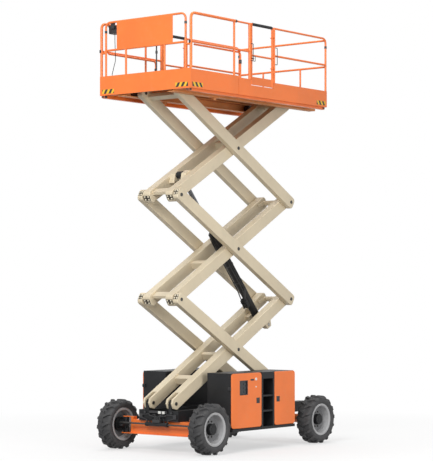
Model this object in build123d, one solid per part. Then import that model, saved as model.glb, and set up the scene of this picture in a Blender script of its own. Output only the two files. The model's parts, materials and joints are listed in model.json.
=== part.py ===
from build123d import *
import math
import os

# Rough-terrain scissor lift, millimetres. +X is the steered front end, +Y the left side, +Z up.
# The origin is on the ground, at the middle of the machine's length and width.
# The stack is drawn part raised: arm_angle sets the height it is drawn at.
# Round bars, bores and wheels are many-sided prisms, so that the whole machine stays light.

os.makedirs("parts", exist_ok=True)

# ---- general ----
mid_x = 30.0  # middle of the wheelbase, from the origin
wheelbase = 3147.0
track = 2085.0  # between the tyres' middles
body_gap = 6.0  # least gap between bodies that move past each other
seat_gap = 0.3  # gap at a seat between two bodies
pin_play = 0.05  # radial play of a pin in its bore

# ---- wheels ----
tyre_od = 893.0
tyre_width = 305.0
tread_floor_r = 410.0  # between the lugs
sidewall_r = 352.0  # where the tyre is widest
bead_r = 300.0
bead_in = 14.0
tread_edge_in = 34.0  # where the tread's flat ends, in from the sidewall
lug_count = 16  # on each side of a tyre
lug_width = 52.0
lug_lean = 38.0  # half of the lug's run round the tyre
lug_inner_end = 4.0  # from the tyre's middle
lug_shoulder = 40.0
lug_shoulder_drop = 42.0
lug_root_r = 385.0
lug_toe_r = 362.0
lug_toe_in = 60.0
rim_seat_r = 268.0
rim_flange_r = 293.0
rim_width = 262.0
rim_lip = 12.0
rim_thick = 6.0
rim_disc_in = 32.0  # the bowl's radius at the disc, in from the seat
rim_back_in = 20.0
rim_sides = 16
hub_sides = 10
disc_thick = 14.0
disc_face = 12.0  # the wheel disc's outer face, outboard of the tyre's middle
hub_r = 100.0
hub_nose = 84.0
hub_back_r = 128.0
hub_back = 60.0

# ---- axles and steering ----
kingpin_in = 192.5  # kingpin, in from the tyre's middle
kingpin_r = 28.0
kingpin_boss_r = 56.0
spindle_r = 84.0
kingpin_reach = 150.0
steer_arm = 160.0
steer_rod_r = 18.0
steer_rod_lift = 44.0
steer_tip_in = 26.0  # steering arm's ball, in from the kingpin
steer_tip_r = 34.0
steer_arm_half = 24.0
steer_mount_half = 60.0
steer_cylinder_r = 40.0
steer_cylinder_half = 250.0
axle_half_width = 70.0
axle_flange_half = 92.0
beam_height = 130.0
beam_end_in = 210.0  # beam's end, in from the kingpin
cheek_in = 150.0  # the fork's cheek, in from the kingpin
axle_plate = 12.0
axle_web_half = 50.0
fork_half = 46.0
kingpin_cap_r = 60.0
rear_case = [(-190.0, 90.0), (-70.0, 160.0), (70.0, 160.0), (190.0, 90.0)]  # place across, radius
rear_pad_in = 20.0
rear_pad_half = 90.0
rear_hub_r = 118.0
rear_hub_in = 182.5
rear_hub_width = 160.0

# ---- scissor stack ----
stages = 3
arm_angle = 29.4
arm_length = 3696.0  # pivot to pivot
arm_height = 215.0
arm_end = 90.0  # past the end pivots
arm_corner = 60.0
outer_arm_y = 351.0  # inner face of the outer arms
outer_arm_width = 110.0
inner_arm_y = 179.0  # inner face of the inner arms
inner_arm_width = 160.0
pin_r = 32.0
lower_pivot_z = 854.0
front_pivot_x = mid_x + 1617.0
cross_bar_r = 48.0
bracket_foot = 170.0  # half the length of a cylinder bracket at the arm
bracket_toe = 60.0
roller_in_y = 268.0
tie_tube_along = 130.0
tie_tube_size = (120.0, 70.0)
fork_slot = 80.0
fork_depth = 190.0

# ---- lift cylinder, its pins measured along and above the arms ----
barrel_r = 73.0
stem_r = 40.0
barrel_length = 2235.0
barrel_pin_along = 3176.0
barrel_pin_below = 256.0
stem_pin_along = 661.0
stem_pin_above = 72.0
stem_head_r = 66.0
stem_beyond = 245.0  # how much longer the stem is than the barrel
barrel_floor = 110.0
gland_r = 80.0
gland_length = 90.0
gland_in = 15.0
valve_sink = 20.0
valve_along = 620.0
valve_size = (180.0, 110.0, 90.0)

# ---- chassis ----
rail_in_y = 255.0
rail_out_y = 450.0
rail_top_z = 735.0
rail_low_z = 545.0
chassis_front_x = mid_x + 1690.0
chassis_rear_x = mid_x - 2130.0
cross_beam = 100.0
cross_beam_x = (chassis_front_x - 50.0, mid_x + 650.0, mid_x - 710.0, chassis_rear_x + 60.0)
bracket_x = (mid_x + 620.0, mid_x - 640.0)
bracket_drop = 30.0
cross_beam_drop = 90.0
bracket_half = 70.0
bracket_low_z = 430.0
lug_thick = 25.0
lug_width_x = 90.0
lug_drop = 90.0
lug_eye_r = 22.0
lug_eye_in = 50.0  # eye's centre, in from the chassis's rear end
lug_eye_drop = 45.0
foot_half = 70.0

# ---- side boxes ----
box_front_x = mid_x + 929.0
box_rear_x = mid_x - 919.0
box_out_y = 1045.0
box_in_y = 478.0
box_low_z = 352.0
box_top_z = 1371.0
door_low_z = 407.0
door_thick = 38.0
box_wall = 12.0
front_door_end_x = mid_x + 80.0
rear_door_end_x = mid_x - 293.0
door_gap = 8.0
engine_top_z = 1050.0
engine_in = 60.0
engine_out = 120.0
step_side = 40.0
step_deep = 260.0
step_pitch = 270.0
step_head = 120.0
step_thick = 30.0
step_in = 10.0
window_x = mid_x + 605.0
window_half = 115.0
window_low_z = 985.0
window_top_z = 1240.0
door_corner = 24.0
door_taper = 196.0
latch_z = 875.0
latch_half = 44.0
latch_in = 60.0  # latch's far side, in from the door's free edge
latch_deep = 12.0

# ---- platform ----
deck_front_x = mid_x + 2070.0
deck_rear_x = mid_x - 1952.0
deck_half_width = 1034.0
deck_above_pivot = 153.0  # deck's top above the top row of pivots
deck_thick = 16.0
panel_thick = 30.0
bearer_x = [mid_x - 1850.0, mid_x - 570.0, mid_x + 700.0, mid_x + 1980.0]
bearer_half = 30.0
channel_drop = 45.0
bearing_half = 85.0
bearer_height = 60.0
tie_thick = 10.0
deck_joint_x = mid_x + 575.0  # joint between the two deck sheets
deck_joint = 3.0
panel_below_pivot = 45.0
panel_above_pivot = 257.0
track_in_y = 490.0
track_out_y = 640.0
track_wall = 14.0
track_roller_r = 60.0
track_rear_x = mid_x - 2130.0
side_channel = 74.0  # width of the channel under each side of the deck
runner_width = 70.0
rail_height = 1100.0
mid_rail_height = 590.0
rail_r = 19.0
thin_rail_r = 17.0
sleeve_r = 25.0
sleeve_play = 1.0
post_r = 26.0
bend_r = 95.0
rail_inset = 15.0  # rails' centre plane, in from the platform's side
rear_rail_in = 25.0
rear_rail_drop = 32.0
hinge_low_drop = 240.0
hinge_high_drop = 180.0
hinge_lip = 9.0
thin_rail_end = 170.0  # its front end, back from the front
clamp_half = 14.0
clamp_lip = 8.0
thin_rail_inset = 42.0  # the fixed lower rail, further in
rail_drop = 34.0  # and lower
stay_bend_r = 60.0
extension_rear_x = mid_x + 738.0
extension_thick = 12.0
side_board_rise = 25.0  # above the fixed boards
front_board_rise = 12.0  # above the side boards
bumper_width = 75.0
bumper_drop = 40.0
bumper_in = 5.0
runner_rear_x = mid_x - 600.0
stay_x = mid_x + 620.0
gate_front_x = mid_x + 380.0
gate_rear_x = mid_x - 280.0
grip_r = 29.0
hoop_in = 126.0  # front hoop's legs, in from the platform's side
hoop_back = 24.0  # hoop's plane, back from the front
corner_back = 30.0
inner_post_y = 440.0
sheet_half = 638.0
sheet_thick = 4.0
sleeve_start = 90.0
sleeve_post = 114.0
sleeve_bore_end = 165.0
corner_tie_drop = 40.0
kick_height = 140.0
gate_low_gap = 12.0
gate_bar_drop = 60.0
gate_plate_half = 8.0
control_in = 254.0
control_back = 80.0
control_drop = 60.0
control_size = (160.0, 240.0, 130.0)
control_hook = 80.0
stick_side = 50.0
stick_r = 16.0

# ---- places that follow from them ----
angle = math.radians(arm_angle)
run = arm_length * math.cos(angle)
rise = arm_length * math.sin(angle)
pivot_z = [lower_pivot_z + level * rise for level in range(stages + 1)]
top_z = pivot_z[stages]
deck_z = top_z + deck_above_pivot
panel_low_z = top_z - panel_below_pivot
panel_top_z = top_z + panel_above_pivot
outer_face_y = outer_arm_y + outer_arm_width
inner_face_y = inner_arm_y + inner_arm_width
tyre_r = tyre_od / 2
lug_reach = lug_lean + lug_width / 2
kingpin_y = track / 2 - kingpin_in
lug_plane = math.sqrt(tyre_r**2 - lug_reach**2)  # flat top of a lug, its corners on the tyre's circle
half_pitch = 90 / lug_count  # degrees between a left and a right lug, halved
axle_z = tyre_r * math.cos(math.radians(half_pitch))  # each tyre stands on two neighbouring lugs
lug_turn = 2 * half_pitch - math.degrees(math.asin(lug_reach / tyre_r))
front_axle_x = mid_x + wheelbase / 2
rear_axle_x = mid_x - wheelbase / 2
roller_r = lower_pivot_z - rail_top_z - seat_gap
rail_y = deck_half_width - rail_inset
top_rail_z = deck_z + rail_height - rail_r
mid_rail_z = deck_z + mid_rail_height
low_rail_z = mid_rail_z - rail_drop
channel_in_y = deck_half_width - panel_thick - side_channel
runner_y = (track_out_y + channel_in_y) / 2
hoop_y = deck_half_width - hoop_in
stem_length = barrel_length + stem_beyond
stage_names = ["lower", "middle", "upper"]
sides = [("left", 1), ("right", -1)]


# ---- shapes ----
def block(x0, x1, y0, y1, z0, z1):
    middle = Pos((x0 + x1) / 2, (y0 + y1) / 2, (z0 + z1) / 2)
    return middle * Box(abs(x1 - x0), abs(y1 - y0), abs(z1 - z0))


def bar(start, end, radius, count=8, turned=0.5):
    # a straight many-sided bar; turned is its turn about its own axis, in sides
    a = Vector(*start)
    b = Vector(*end)
    across = (0, 1, 0) if abs((b - a).normalized().Y) < 0.9 else (1, 0, 0)
    section = RegularPolygon(radius, count, rotation=360 * turned / count)
    return extrude(Plane(origin=a, x_dir=across, z_dir=b - a) * section, amount=(b - a).length)


def bore(start, end, radius, play=pin_play, count=8):
    # a hole whose flats clear the corners of a bar of this radius, and lie on them at rest
    return bar(start, end, (radius + play) / math.cos(math.pi / count), count, 0)


def bar_y(x, z, y0, y1, radius, count=8):
    return bar((x, min(y0, y1), z), (x, max(y0, y1), z), radius, count)


def bore_y(x, z, y0, y1, radius):
    return bore((x, min(y0, y1), z), (x, max(y0, y1), z), radius)


def skinned(rings):
    # a solid with flat faces between rings of matching points, closed at both ends
    faces = []
    for near, far in zip(rings, rings[1:]):
        for index in range(len(near)):
            after = (index + 1) % len(near)
            quad = [near[index], near[after], far[after], far[index]]
            faces.append(Face(Wire.make_polygon(quad, close=True)))
    faces += [Face(Wire.make_polygon(end, close=True)) for end in (rings[0], rings[-1])]
    return Solid(Shell(faces))


def bent_bar(points, bend, radius, count=8, steps=3):
    # a bar through the points of a flat route, its corners cut into a few short straight pieces
    route = [Vector(*points[0])]
    for before, corner, after in zip(points, points[1:], points[2:]):
        a = (Vector(*before) - Vector(*corner)).normalized()
        b = (Vector(*after) - Vector(*corner)).normalized()
        half = math.radians(a.get_angle(b)) / 2
        normal = a.cross(b).normalized()
        centre = Vector(*corner) + (a + b).normalized() * (bend / math.sin(half))
        start = Vector(*corner) + a * (bend / math.tan(half)) - centre
        axis = Axis(origin=(0, 0, 0), direction=tuple(normal * -1))
        turn = 180 - math.degrees(2 * half)
        for step in range(steps + 1):
            route.append(centre + start.rotate(axis, turn * step / steps))
    route.append(Vector(*points[-1]))
    ways = [(b - a).normalized() for a, b in zip(route, route[1:])]
    ways = [ways[0]] + ways + [ways[-1]]
    rings = []
    for point, before, after in zip(route, ways, ways[1:]):
        along = (before + after).normalized()
        stretch = 1 / math.cos(math.radians(before.get_angle(after)) / 2)
        inward = normal.cross(along)
        ring_points = []
        for index in range(count):
            turned = math.pi * (2 * index + 1) / count
            offset = normal * (radius * math.cos(turned)) + inward * (radius * stretch * math.sin(turned))
            ring_points.append(point + offset)
        rings.append(ring_points)
    return skinned(rings)


def fused(pieces):
    return pieces[0].fuse(*pieces[1:]) if len(pieces) > 1 else pieces[0]


def mirrored(shape):
    return mirror(shape, about=Plane.XZ)


def handed(shape, side):
    return shape if side > 0 else mirrored(shape)


def save(shape, node):
    export_step(shape, f"parts/{node}.step")


# ---- wheels, drawn at the origin with the outboard side towards +Y ----
def ring(y, radius, count, turned=0.0):
    steps = [math.radians(turned) + 2 * math.pi * index / count for index in range(count)]
    return [Vector(radius * math.cos(a), y, radius * math.sin(a)) for a in steps]


def stepped(table, count):
    # a many-sided solid about the wheel's axle, from places along it and radii
    turned = 180 / count
    return skinned([ring(y, r, count, turned) for y, r in table])


def tyre():
    half = tyre_width / 2
    pitch = 360 / lug_count
    # place along the axle and radius of one side of the carcass, from the middle to the bead
    side = [(half - tread_edge_in, tread_floor_r), (half, sidewall_r), (rim_width / 2 - bead_in, bead_r)]
    hole_r = rim_seat_r + seat_gap / math.cos(math.pi / rim_sides)
    carcass = stepped([(0, tread_floor_r)] + side, lug_count)
    # one lug: its outline seen from outside the tyre, cut to its shoulder slope
    w = lug_width / 2
    inner_side = [(lug_inner_end, -lug_lean - w), (half, lug_lean - w)]
    outer_side = [(half, lug_lean + w), (lug_inner_end, w - lug_lean)]
    outline = inner_side + outer_side
    seen = make_face(Polyline(*outline, close=True))
    lug = extrude(Plane(origin=(0, 0, 0), x_dir=(0, 1, 0), z_dir=(0, 0, 1)) * seen, amount=lug_plane)
    slope = [(0, lug_root_r), (0, lug_plane), (half - lug_shoulder, lug_plane)]
    slope += [(half, lug_plane - lug_shoulder_drop), (half, lug_toe_r), (half - lug_toe_in, lug_root_r)]
    face = Plane(origin=(-tyre_width, 0, 0), x_dir=(0, 1, 0), z_dir=(1, 0, 0))
    lug = lug & extrude(face * make_face(Polyline(*slope, close=True)), amount=2 * tyre_width)
    half_tyre = fused([carcass] + [Rot(0, pitch * index, 0) * lug for index in range(lug_count)])
    left = Rot(0, lug_turn + pitch / 4, 0) * half_tyre
    right = Rot(0, lug_turn - pitch / 4, 0) * mirrored(half_tyre)
    return left + right - bar_y(0, 0, -half, half, hole_r, rim_sides)


def rim():
    half = rim_width / 2
    seat = bar_y(0, 0, -half, half, rim_seat_r, rim_sides)
    for side in (-1, 1):
        seat = seat + bar_y(0, 0, side * (half - rim_lip), side * half, rim_flange_r, rim_sides)
    outer = [(disc_face, rim_seat_r - rim_disc_in), (half, rim_seat_r - rim_thick)]
    inner = [(-half, rim_seat_r - rim_thick), (disc_face - disc_thick, rim_seat_r - rim_back_in)]
    for table in (outer, inner):
        seat = seat - stepped(table, rim_sides)
    back = disc_face - disc_thick
    nose = bar_y(0, 0, back, disc_face + hub_nose, hub_r, hub_sides)
    return seat + nose + bar_y(0, 0, back - hub_back, back, hub_back_r, hub_sides)


def wheels():
    shapes = [("tyre", tyre()), ("rim", rim())]
    for end, x in (("front", front_axle_x), ("rear", rear_axle_x)):
        for hand, side in sides:
            place = Pos(x, side * track / 2, axle_z) * Rot(0, 0, 0 if side > 0 else 180)
            for name, shape in shapes:
                save(place * shape, f"{name}_{end}_{hand}")


# ---- axles and steering ----
spindle_end_y = track / 2 + disc_face - disc_thick - hub_back - seat_gap


def knuckle():
    x, z = front_axle_x, axle_z
    half = kingpin_reach - axle_plate - seat_gap
    tip_y = kingpin_y - steer_tip_in
    body = bar((x, kingpin_y, z - half), (x, kingpin_y, z + half), kingpin_boss_r)
    body = body + bar_y(x, z, kingpin_y, spindle_end_y, spindle_r)
    arm_x, arm_y = x + steer_arm + steer_tip_in, (tip_y - steer_arm_half, tip_y + steer_arm_half)
    arm = block(x, arm_x, *arm_y, z - steer_rod_r, z + steer_rod_r)
    tip = bar((x + steer_arm, tip_y, z - steer_rod_r), (x + steer_arm, tip_y, z + steer_rod_r), steer_tip_r)
    return body + arm + tip - bore((x, kingpin_y, z - half), (x, kingpin_y, z + half), kingpin_r)


def front_axle():
    x, z = front_axle_x, axle_z
    top = rail_low_z - seat_gap
    low, high = z - kingpin_reach, z + kingpin_reach
    foot = low + axle_plate
    beam_end, cheek_y = kingpin_y - beam_end_in, kingpin_y - cheek_in
    pieces = [block(x - axle_half_width, x + axle_half_width, -beam_end, beam_end, top - beam_height, top)]
    pieces.append(block(x - axle_flange_half, x + axle_flange_half, -kingpin_y, kingpin_y, low, foot))
    pieces.append(block(x - axle_web_half, x + axle_web_half, -cheek_y, cheek_y, foot, top - beam_height))
    # the fork over the kingpin, bent down to the flange
    fork = [(beam_end, foot), (cheek_y, foot), (cheek_y, high - axle_plate), (kingpin_y, high - axle_plate)]
    fork += [(kingpin_y, high), (beam_end, high)]
    face = Plane(origin=(x - fork_half, 0, 0), x_dir=(0, 1, 0), z_dir=(1, 0, 0))
    plate = extrude(face * make_face(Polyline(*fork, close=True)), amount=2 * fork_half)
    for side in (-1, 1):
        y = side * kingpin_y
        pieces.append(handed(plate, side))
        pieces.append(bar((x, y, high - axle_plate), (x, y, high), kingpin_cap_r))
        pieces.append(bar((x, y, low), (x, y, foot), axle_flange_half))
        pieces.append(bar((x, y, low), (x, y, high), kingpin_r))
    return fused(pieces)


def steering():
    x, z = front_axle_x + steer_arm, axle_z + steer_rod_lift
    half = steer_cylinder_half
    body = bar_y(x, z, -half, half, steer_cylinder_r)
    wide, high = steer_mount_half, steer_mount_half / 2
    mount = block(front_axle_x + axle_half_width + seat_gap, x, -wide, wide, z - high, z + high)
    save(body + mount - bore_y(x, z, -half - 1, half + 1, steer_rod_r), "steer_cylinder")
    reach = kingpin_y + 4
    save(bar_y(x, z, -reach, reach, steer_rod_r), "tie_rod")


def rear_axle():
    x, z = rear_axle_x, axle_z
    pieces = [bar_y(x, z, -spindle_end_y, spindle_end_y, spindle_r)]
    pieces.append(Pos(x, 0, z) * stepped(rear_case, 8))
    hub_y = track / 2 - rear_hub_in
    for side in (-1, 1):
        pieces.append(bar_y(x, z, side * (hub_y - rear_hub_width), side * hub_y, rear_hub_r))
        near, far = side * (rail_in_y + rear_pad_in), side * (rail_out_y - rear_pad_in)
        pieces.append(block(x - rear_pad_half, x + rear_pad_half, near, far, z, rail_low_z - seat_gap))
    return fused(pieces)


# ---- scissor arms ----
def arm_plane(level, inner):
    climb = 1 if inner else -1
    start = pivot_z[level] if inner else pivot_z[level + 1]
    direction = (-math.cos(angle), 0, climb * math.sin(angle))
    return Plane(origin=(front_pivot_x, 0, start), x_dir=direction, z_dir=(0, 1, 0))


def on_arm(level, inner, along, above=0.0):
    point = arm_plane(level, inner).from_local_coords(Vector(along, above, 0))
    return point.X, point.Z


def arm_tube(level, inner, y0, y1):
    outline = Rectangle(arm_length + 2 * arm_end, arm_height)
    outline = chamfer(outline.vertices(), arm_corner)
    return extrude(arm_plane(level, inner) * Pos(arm_length / 2, 0, y0) * outline, amount=y1 - y0)


def inner_arm_pair(level):
    pieces = []
    for side in (-1, 1):
        low, high = sorted((side * inner_arm_y, side * inner_face_y))
        tube = arm_tube(level, True, low, high)
        for along in (0, arm_length / 2, arm_length):
            x, z = on_arm(level, True, along)
            if level == stages - 1 and along == arm_length:
                continue
            tube = tube - bore_y(x, z, low - 1, high + 1, pin_r)
        if level == 0:
            middle = (low + high) / 2
            slot = Pos(0, 0, middle - fork_slot / 2) * Rectangle(2 * fork_depth, 2 * arm_height)
            tube = tube - extrude(arm_plane(0, True) * slot, amount=fork_slot)
        pieces.append(tube)
    return pieces


def cross_tubes(level):
    # along the arm, above its middle, length along the arm, height
    tables = [
        [(760, 10, 120, 130), (1600, 0, 90, 120)],
        [(70, 44, 150, 56), (1260, 0, 110, 120)],
        [(70, 44, 150, 56), (2050, 0, 110, 120)],
    ]
    tubes = []
    for along, above, length, height in tables[level]:
        face = arm_plane(level, True) * Pos(along, above, -inner_arm_y) * Rectangle(length, height)
        tubes.append(extrude(face, amount=2 * inner_arm_y))
    x, z = on_arm(level, True, arm_length)
    tubes.append(bar_y(x, z, -inner_arm_y, inner_arm_y, cross_bar_r))
    return tubes


def cylinder_brackets(level, along, above, half_gap):
    # a pair of thick plates welded to the arms' inner faces, which hold the cylinder's pin
    x, z = on_arm(level, True, along, above)
    plates = []
    for side in (-1, 1):
        y0, y1 = sorted((side * half_gap, side * inner_arm_y))
        toe = above + math.copysign(bracket_toe, above)
        heel = [(along - bracket_foot, 0), (along + bracket_foot, 0)]
        foot = heel + [(along + bracket_toe, toe), (along - bracket_toe, toe)]
        face = arm_plane(level, True) * Pos(0, 0, y0) * make_face(Polyline(*foot, close=True))
        plate = extrude(face, amount=y1 - y0)
        if above < 0:
            plate = plate - bore_y(x, z, y0 - 1, y1 + 1, pin_r)
        plates.append(plate)
    return plates


def outer_arm_pair(level):
    pieces = []
    for side in (-1, 1):
        low, high = sorted((side * outer_arm_y, side * outer_face_y))
        tube = arm_tube(level, False, low, high)
        for along in (0, arm_length / 2, arm_length):
            x, z = on_arm(level, False, along)
            if level == 0 and along == arm_length:
                tube = tube - bar_y(x, z, low - 1, high + 1, pin_r)
                continue
            near, far = inner_arm_y + 2, outer_face_y
            if level == stages - 1 and along == 0:
                near, far = outer_arm_y, track_out_y - track_wall - 8
            tube = tube + bar_y(x, z, side * near, side * far, pin_r)
        pieces.append(tube)
    if level < stages - 1:
        return Compound(children=pieces)
    # the top pair is tied by a box tube behind its front ends
    face = arm_plane(level, False) * Pos(tie_tube_along, 0, -outer_arm_y) * Rectangle(*tie_tube_size)
    return fused(pieces + [extrude(face, amount=2 * outer_arm_y)])


def arms():
    for level, name in enumerate(stage_names):
        pieces = inner_arm_pair(level) + cross_tubes(level)
        if level == 0:
            pieces += cylinder_brackets(0, barrel_pin_along, -barrel_pin_below, barrel_r + body_gap + 4)
        if level == stages - 1:
            pieces += cylinder_brackets(level, stem_pin_along, stem_pin_above, stem_head_r + body_gap)
        save(fused(pieces), f"inner_arms_{name}")
        save(outer_arm_pair(level), f"outer_arms_{name}")
    # shafts with the rollers that run on the chassis rails and in the platform's tracks
    x, z = on_arm(0, False, arm_length)
    pieces = [bar_y(x, z, -outer_face_y - 8, outer_face_y + 8, pin_r)]
    pieces += [bar_y(x, z, side * roller_in_y, side * (outer_arm_y - 1), roller_r, 12) for side in (-1, 1)]
    save(fused(pieces), "lower_rollers")
    x, z = on_arm(stages - 1, True, arm_length)
    pieces = []
    for side in (-1, 1):
        near, far = side * (track_in_y + 10), side * (track_out_y - track_wall - body_gap)
        axle = bar_y(x, z, side * inner_face_y, near + side * 5, pin_r)
        pieces.append(axle + bar_y(x, z, near, far, track_roller_r, 12))
    save(Compound(children=pieces), "upper_rollers")


# ---- lift cylinder ----
def lift_cylinder():
    x0, z0 = on_arm(0, True, barrel_pin_along, -barrel_pin_below)
    x1, z1 = on_arm(stages - 1, True, stem_pin_along, stem_pin_above)
    base = Vector(x0, 0, z0)
    tip = Vector(x1, 0, z1)
    axis = (tip - base).normalized()

    def place(along):
        return tuple(base + axis * along)

    mouth = barrel_length - gland_length
    barrel = bar(place(0), place(barrel_length), barrel_r, 12)
    barrel = barrel + bar(place(mouth), place(barrel_length - gland_in), gland_r, 12)
    barrel = barrel + bar_y(x0, z0, -inner_arm_y - 2, inner_arm_y + 2, pin_r)
    # valve block on the barrel's lower side
    length, width, height = valve_size
    face = Plane(origin=place(valve_along), x_dir=tuple(axis), z_dir=(0, 1, 0))
    valve = face * Pos(0, barrel_r + height / 2 - valve_sink, 0) * Box(length, height, width)
    barrel = barrel + valve
    barrel = barrel - bore(place(barrel_floor), place(barrel_length + 1), stem_r)
    save(barrel, "cylinder_barrel")
    foot = (tip - base).length - stem_length
    stem = bar(place(foot), tuple(tip), stem_r)
    save(stem + bar_y(x1, z1, -stem_head_r, stem_head_r, stem_head_r), "cylinder_rod")


# ---- chassis ----
def tie_down_lug(side):
    # a plate with a round eye, under the rear end of a rail
    x0 = chassis_rear_x + lug_eye_in - lug_width_x / 2
    y0, y1 = sorted((side * (rail_out_y - lug_thick), side * rail_out_y))
    plate = block(x0, x0 + lug_width_x, y0, y1, rail_low_z - lug_drop, rail_low_z + 1)
    eye_z = rail_low_z - lug_eye_drop
    eye = Plane(origin=(chassis_rear_x + lug_eye_in, y0, eye_z), x_dir=(1, 0, 0), z_dir=(0, 1, 0))
    return plate - extrude(eye * Circle(lug_eye_r), amount=y1 - y0)


def chassis():
    pieces = []
    for side in (-1, 1):
        y0, y1 = side * rail_in_y, side * rail_out_y
        pieces.append(block(chassis_rear_x, chassis_front_x, y0, y1, rail_low_z, rail_top_z))
        # lugs in the forks of the lowest arms, and their pins
        middle = side * (inner_arm_y + inner_arm_width / 2)
        half = fork_slot / 2 - body_gap
        x = front_pivot_x
        foot = block(x - foot_half, x + foot_half, middle - half, middle + half, rail_low_z, lower_pivot_z)
        eye = bar_y(x, lower_pivot_z, middle - half, middle + half, foot_half)
        pin = bar_y(x, lower_pivot_z, side * (inner_arm_y - 8), side * (inner_face_y + 8), pin_r)
        pieces += [foot, eye, pin, tie_down_lug(side)]
        # brackets that carry the side box
        for x in bracket_x:
            far = side * (box_in_y - seat_gap)
            top = rail_top_z - bracket_drop
            pieces.append(block(x - bracket_half, x + bracket_half, y1, far, bracket_low_z, top))
    top = rail_top_z - cross_beam_drop
    for x in cross_beam_x:
        half = cross_beam / 2
        pieces.append(block(x - half, x + half, -rail_in_y, rail_in_y, rail_low_z, top))
    return fused(pieces)


# ---- side boxes with their doors ----
def side_box():
    x0, x1 = box_rear_x, box_front_x
    y0, y1 = box_in_y, box_out_y - door_thick - seat_gap
    wall = box_wall
    shell = block(x0, x1, y0, y1, box_low_z, box_top_z)
    shell = shell - block(x0 + wall, x1 - wall, y0 + wall, y1 + 1, box_low_z + wall, box_top_z - wall)
    post = block(rear_door_end_x, front_door_end_x, y0 + wall, box_out_y, box_low_z, box_top_z)
    inside_x = (rear_door_end_x + step_side, front_door_end_x - step_side)
    back_y = y0 + step_deep
    hollow = block(*inside_x, back_y, box_out_y + 1, box_low_z + step_side, box_top_z - step_head)
    pieces = [shell, post - hollow, block(x0, x1, y1, box_out_y, box_low_z, door_low_z - body_gap)]
    for step in (1, 2):
        z = box_low_z + step_side + step_pitch * step
        pieces.append(block(*inside_x, back_y, box_out_y - step_in, z, z + step_thick))
    return fused(pieces)


def latch(edge_x, inward):
    # a square pocket in the door's face, which takes the latch
    x = edge_x + inward * (latch_in + latch_half)
    half = latch_half
    return block(x - half, x + half, box_out_y - latch_deep, box_out_y + 1, latch_z - half, latch_z + half)


def door(front):
    y0, y1 = box_out_y - door_thick, box_out_y
    if front:
        x0, x1 = front_door_end_x + door_gap, box_front_x
        outline = [(x0, y0), (x1, y0), (x1, y1 - door_corner), (x1 - door_taper, y1), (x0, y1)]
    else:
        x0, x1 = box_rear_x, rear_door_end_x - door_gap
        outline = [(x0, y0), (x1, y0), (x1, y1), (x0, y1)]
    face = Plane.XY.offset(door_low_z) * make_face(Polyline(*outline, close=True))
    sheet = extrude(face, amount=box_top_z - 4 - door_low_z)
    if front:
        x = window_x
        sheet = sheet - block(x - window_half, x + window_half, y0 - 1, y1 + 1, window_low_z, window_top_z)
        return sheet - latch(x0, 1)
    return sheet - latch(x1, -1)


def boxes():
    shell = side_box()
    for hand, side in sides:
        save(handed(shell, side), f"side_box_{hand}")
        save(handed(door(True), side), f"front_door_{hand}")
        save(handed(door(False), side), f"rear_door_{hand}")
    floor = box_low_z + box_wall + seat_gap
    x0, x1 = box_rear_x + engine_in, rear_door_end_x - engine_in
    save(block(x0, x1, engine_out - box_out_y, -box_in_y - engine_in, floor, engine_top_z), "engine_block")


# ---- platform ----
under_deck_z = deck_z - deck_thick
deck_in_front_x = deck_front_x - panel_thick - 10
deck_in_rear_x = deck_rear_x + panel_thick
deck_in_y = deck_half_width - panel_thick
track_half = track_roller_r + 2  # half the roller track's inner height


def deck_plate():
    # two sheets, their joint a shallow groove
    half = deck_in_y - body_gap
    plate = block(deck_in_rear_x, deck_in_front_x, -half, half, under_deck_z + seat_gap, deck_z)
    x = deck_joint_x
    return plate - block(x, x + deck_joint, -half - 1, half + 1, deck_z - 2, deck_z + 1)


def platform_frame():
    # a channel under each side, joined by bearers below and by flat ties over the roller tracks
    low = panel_low_z
    pieces = []
    for side in (-1, 1):
        near, far = side * channel_in_y, side * (deck_in_y - body_gap)
        pieces.append(block(deck_in_rear_x, deck_in_front_x, near, far, low - channel_drop, under_deck_z))
        for x in bearer_x:
            start = side * (track_out_y + seat_gap)
            pieces.append(block(x - bearer_half, x + bearer_half, start, near, low, low + bearer_height))
    for x in bearer_x:
        ends = (-channel_in_y, channel_in_y)
        low = under_deck_z - tie_thick
        pieces.append(block(x - bearer_half, x + bearer_half, *ends, low, under_deck_z))
    return fused(pieces)


def roller_track():
    # a channel open towards the middle, with the front bearing block in it
    front = deck_in_front_x
    web = track_out_y - track_wall
    low, high = top_z - track_half, top_z + track_half
    top = under_deck_z - tie_thick - seat_gap
    pieces = [block(track_rear_x, front, web, track_out_y, low - track_wall, top)]
    for z0, z1 in ((low - track_wall, low), (high, high + track_wall)):
        pieces.append(block(track_rear_x, front, track_in_y, track_out_y, z0, z1))
    near = outer_face_y + body_gap + 2
    pieces.append(block(front_pivot_x - bearing_half, front_pivot_x + bearing_half, near, web, low, high))
    return fused(pieces) - bore_y(front_pivot_x, top_z, outer_face_y, web - 7, pin_r)


def toe_boards():
    x0, x1 = deck_rear_x, deck_in_rear_x
    pieces = [block(x0, x1, -deck_in_y, deck_in_y, deck_z, panel_top_z)]
    for side in (-1, 1):
        y0, y1 = side * deck_in_y, side * deck_half_width
        pieces.append(block(x0, gate_rear_x, y0, y1, panel_low_z, panel_top_z))
        pieces.append(block(gate_rear_x, gate_front_x, y0, y1, panel_low_z, deck_z))
        pieces.append(block(gate_front_x, extension_rear_x - body_gap, y0, y1, panel_low_z, panel_top_z))
        pieces.append(block(x0, x1, side * (track_out_y + 10), y0, panel_low_z, deck_z))
    return fused(pieces)


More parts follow.
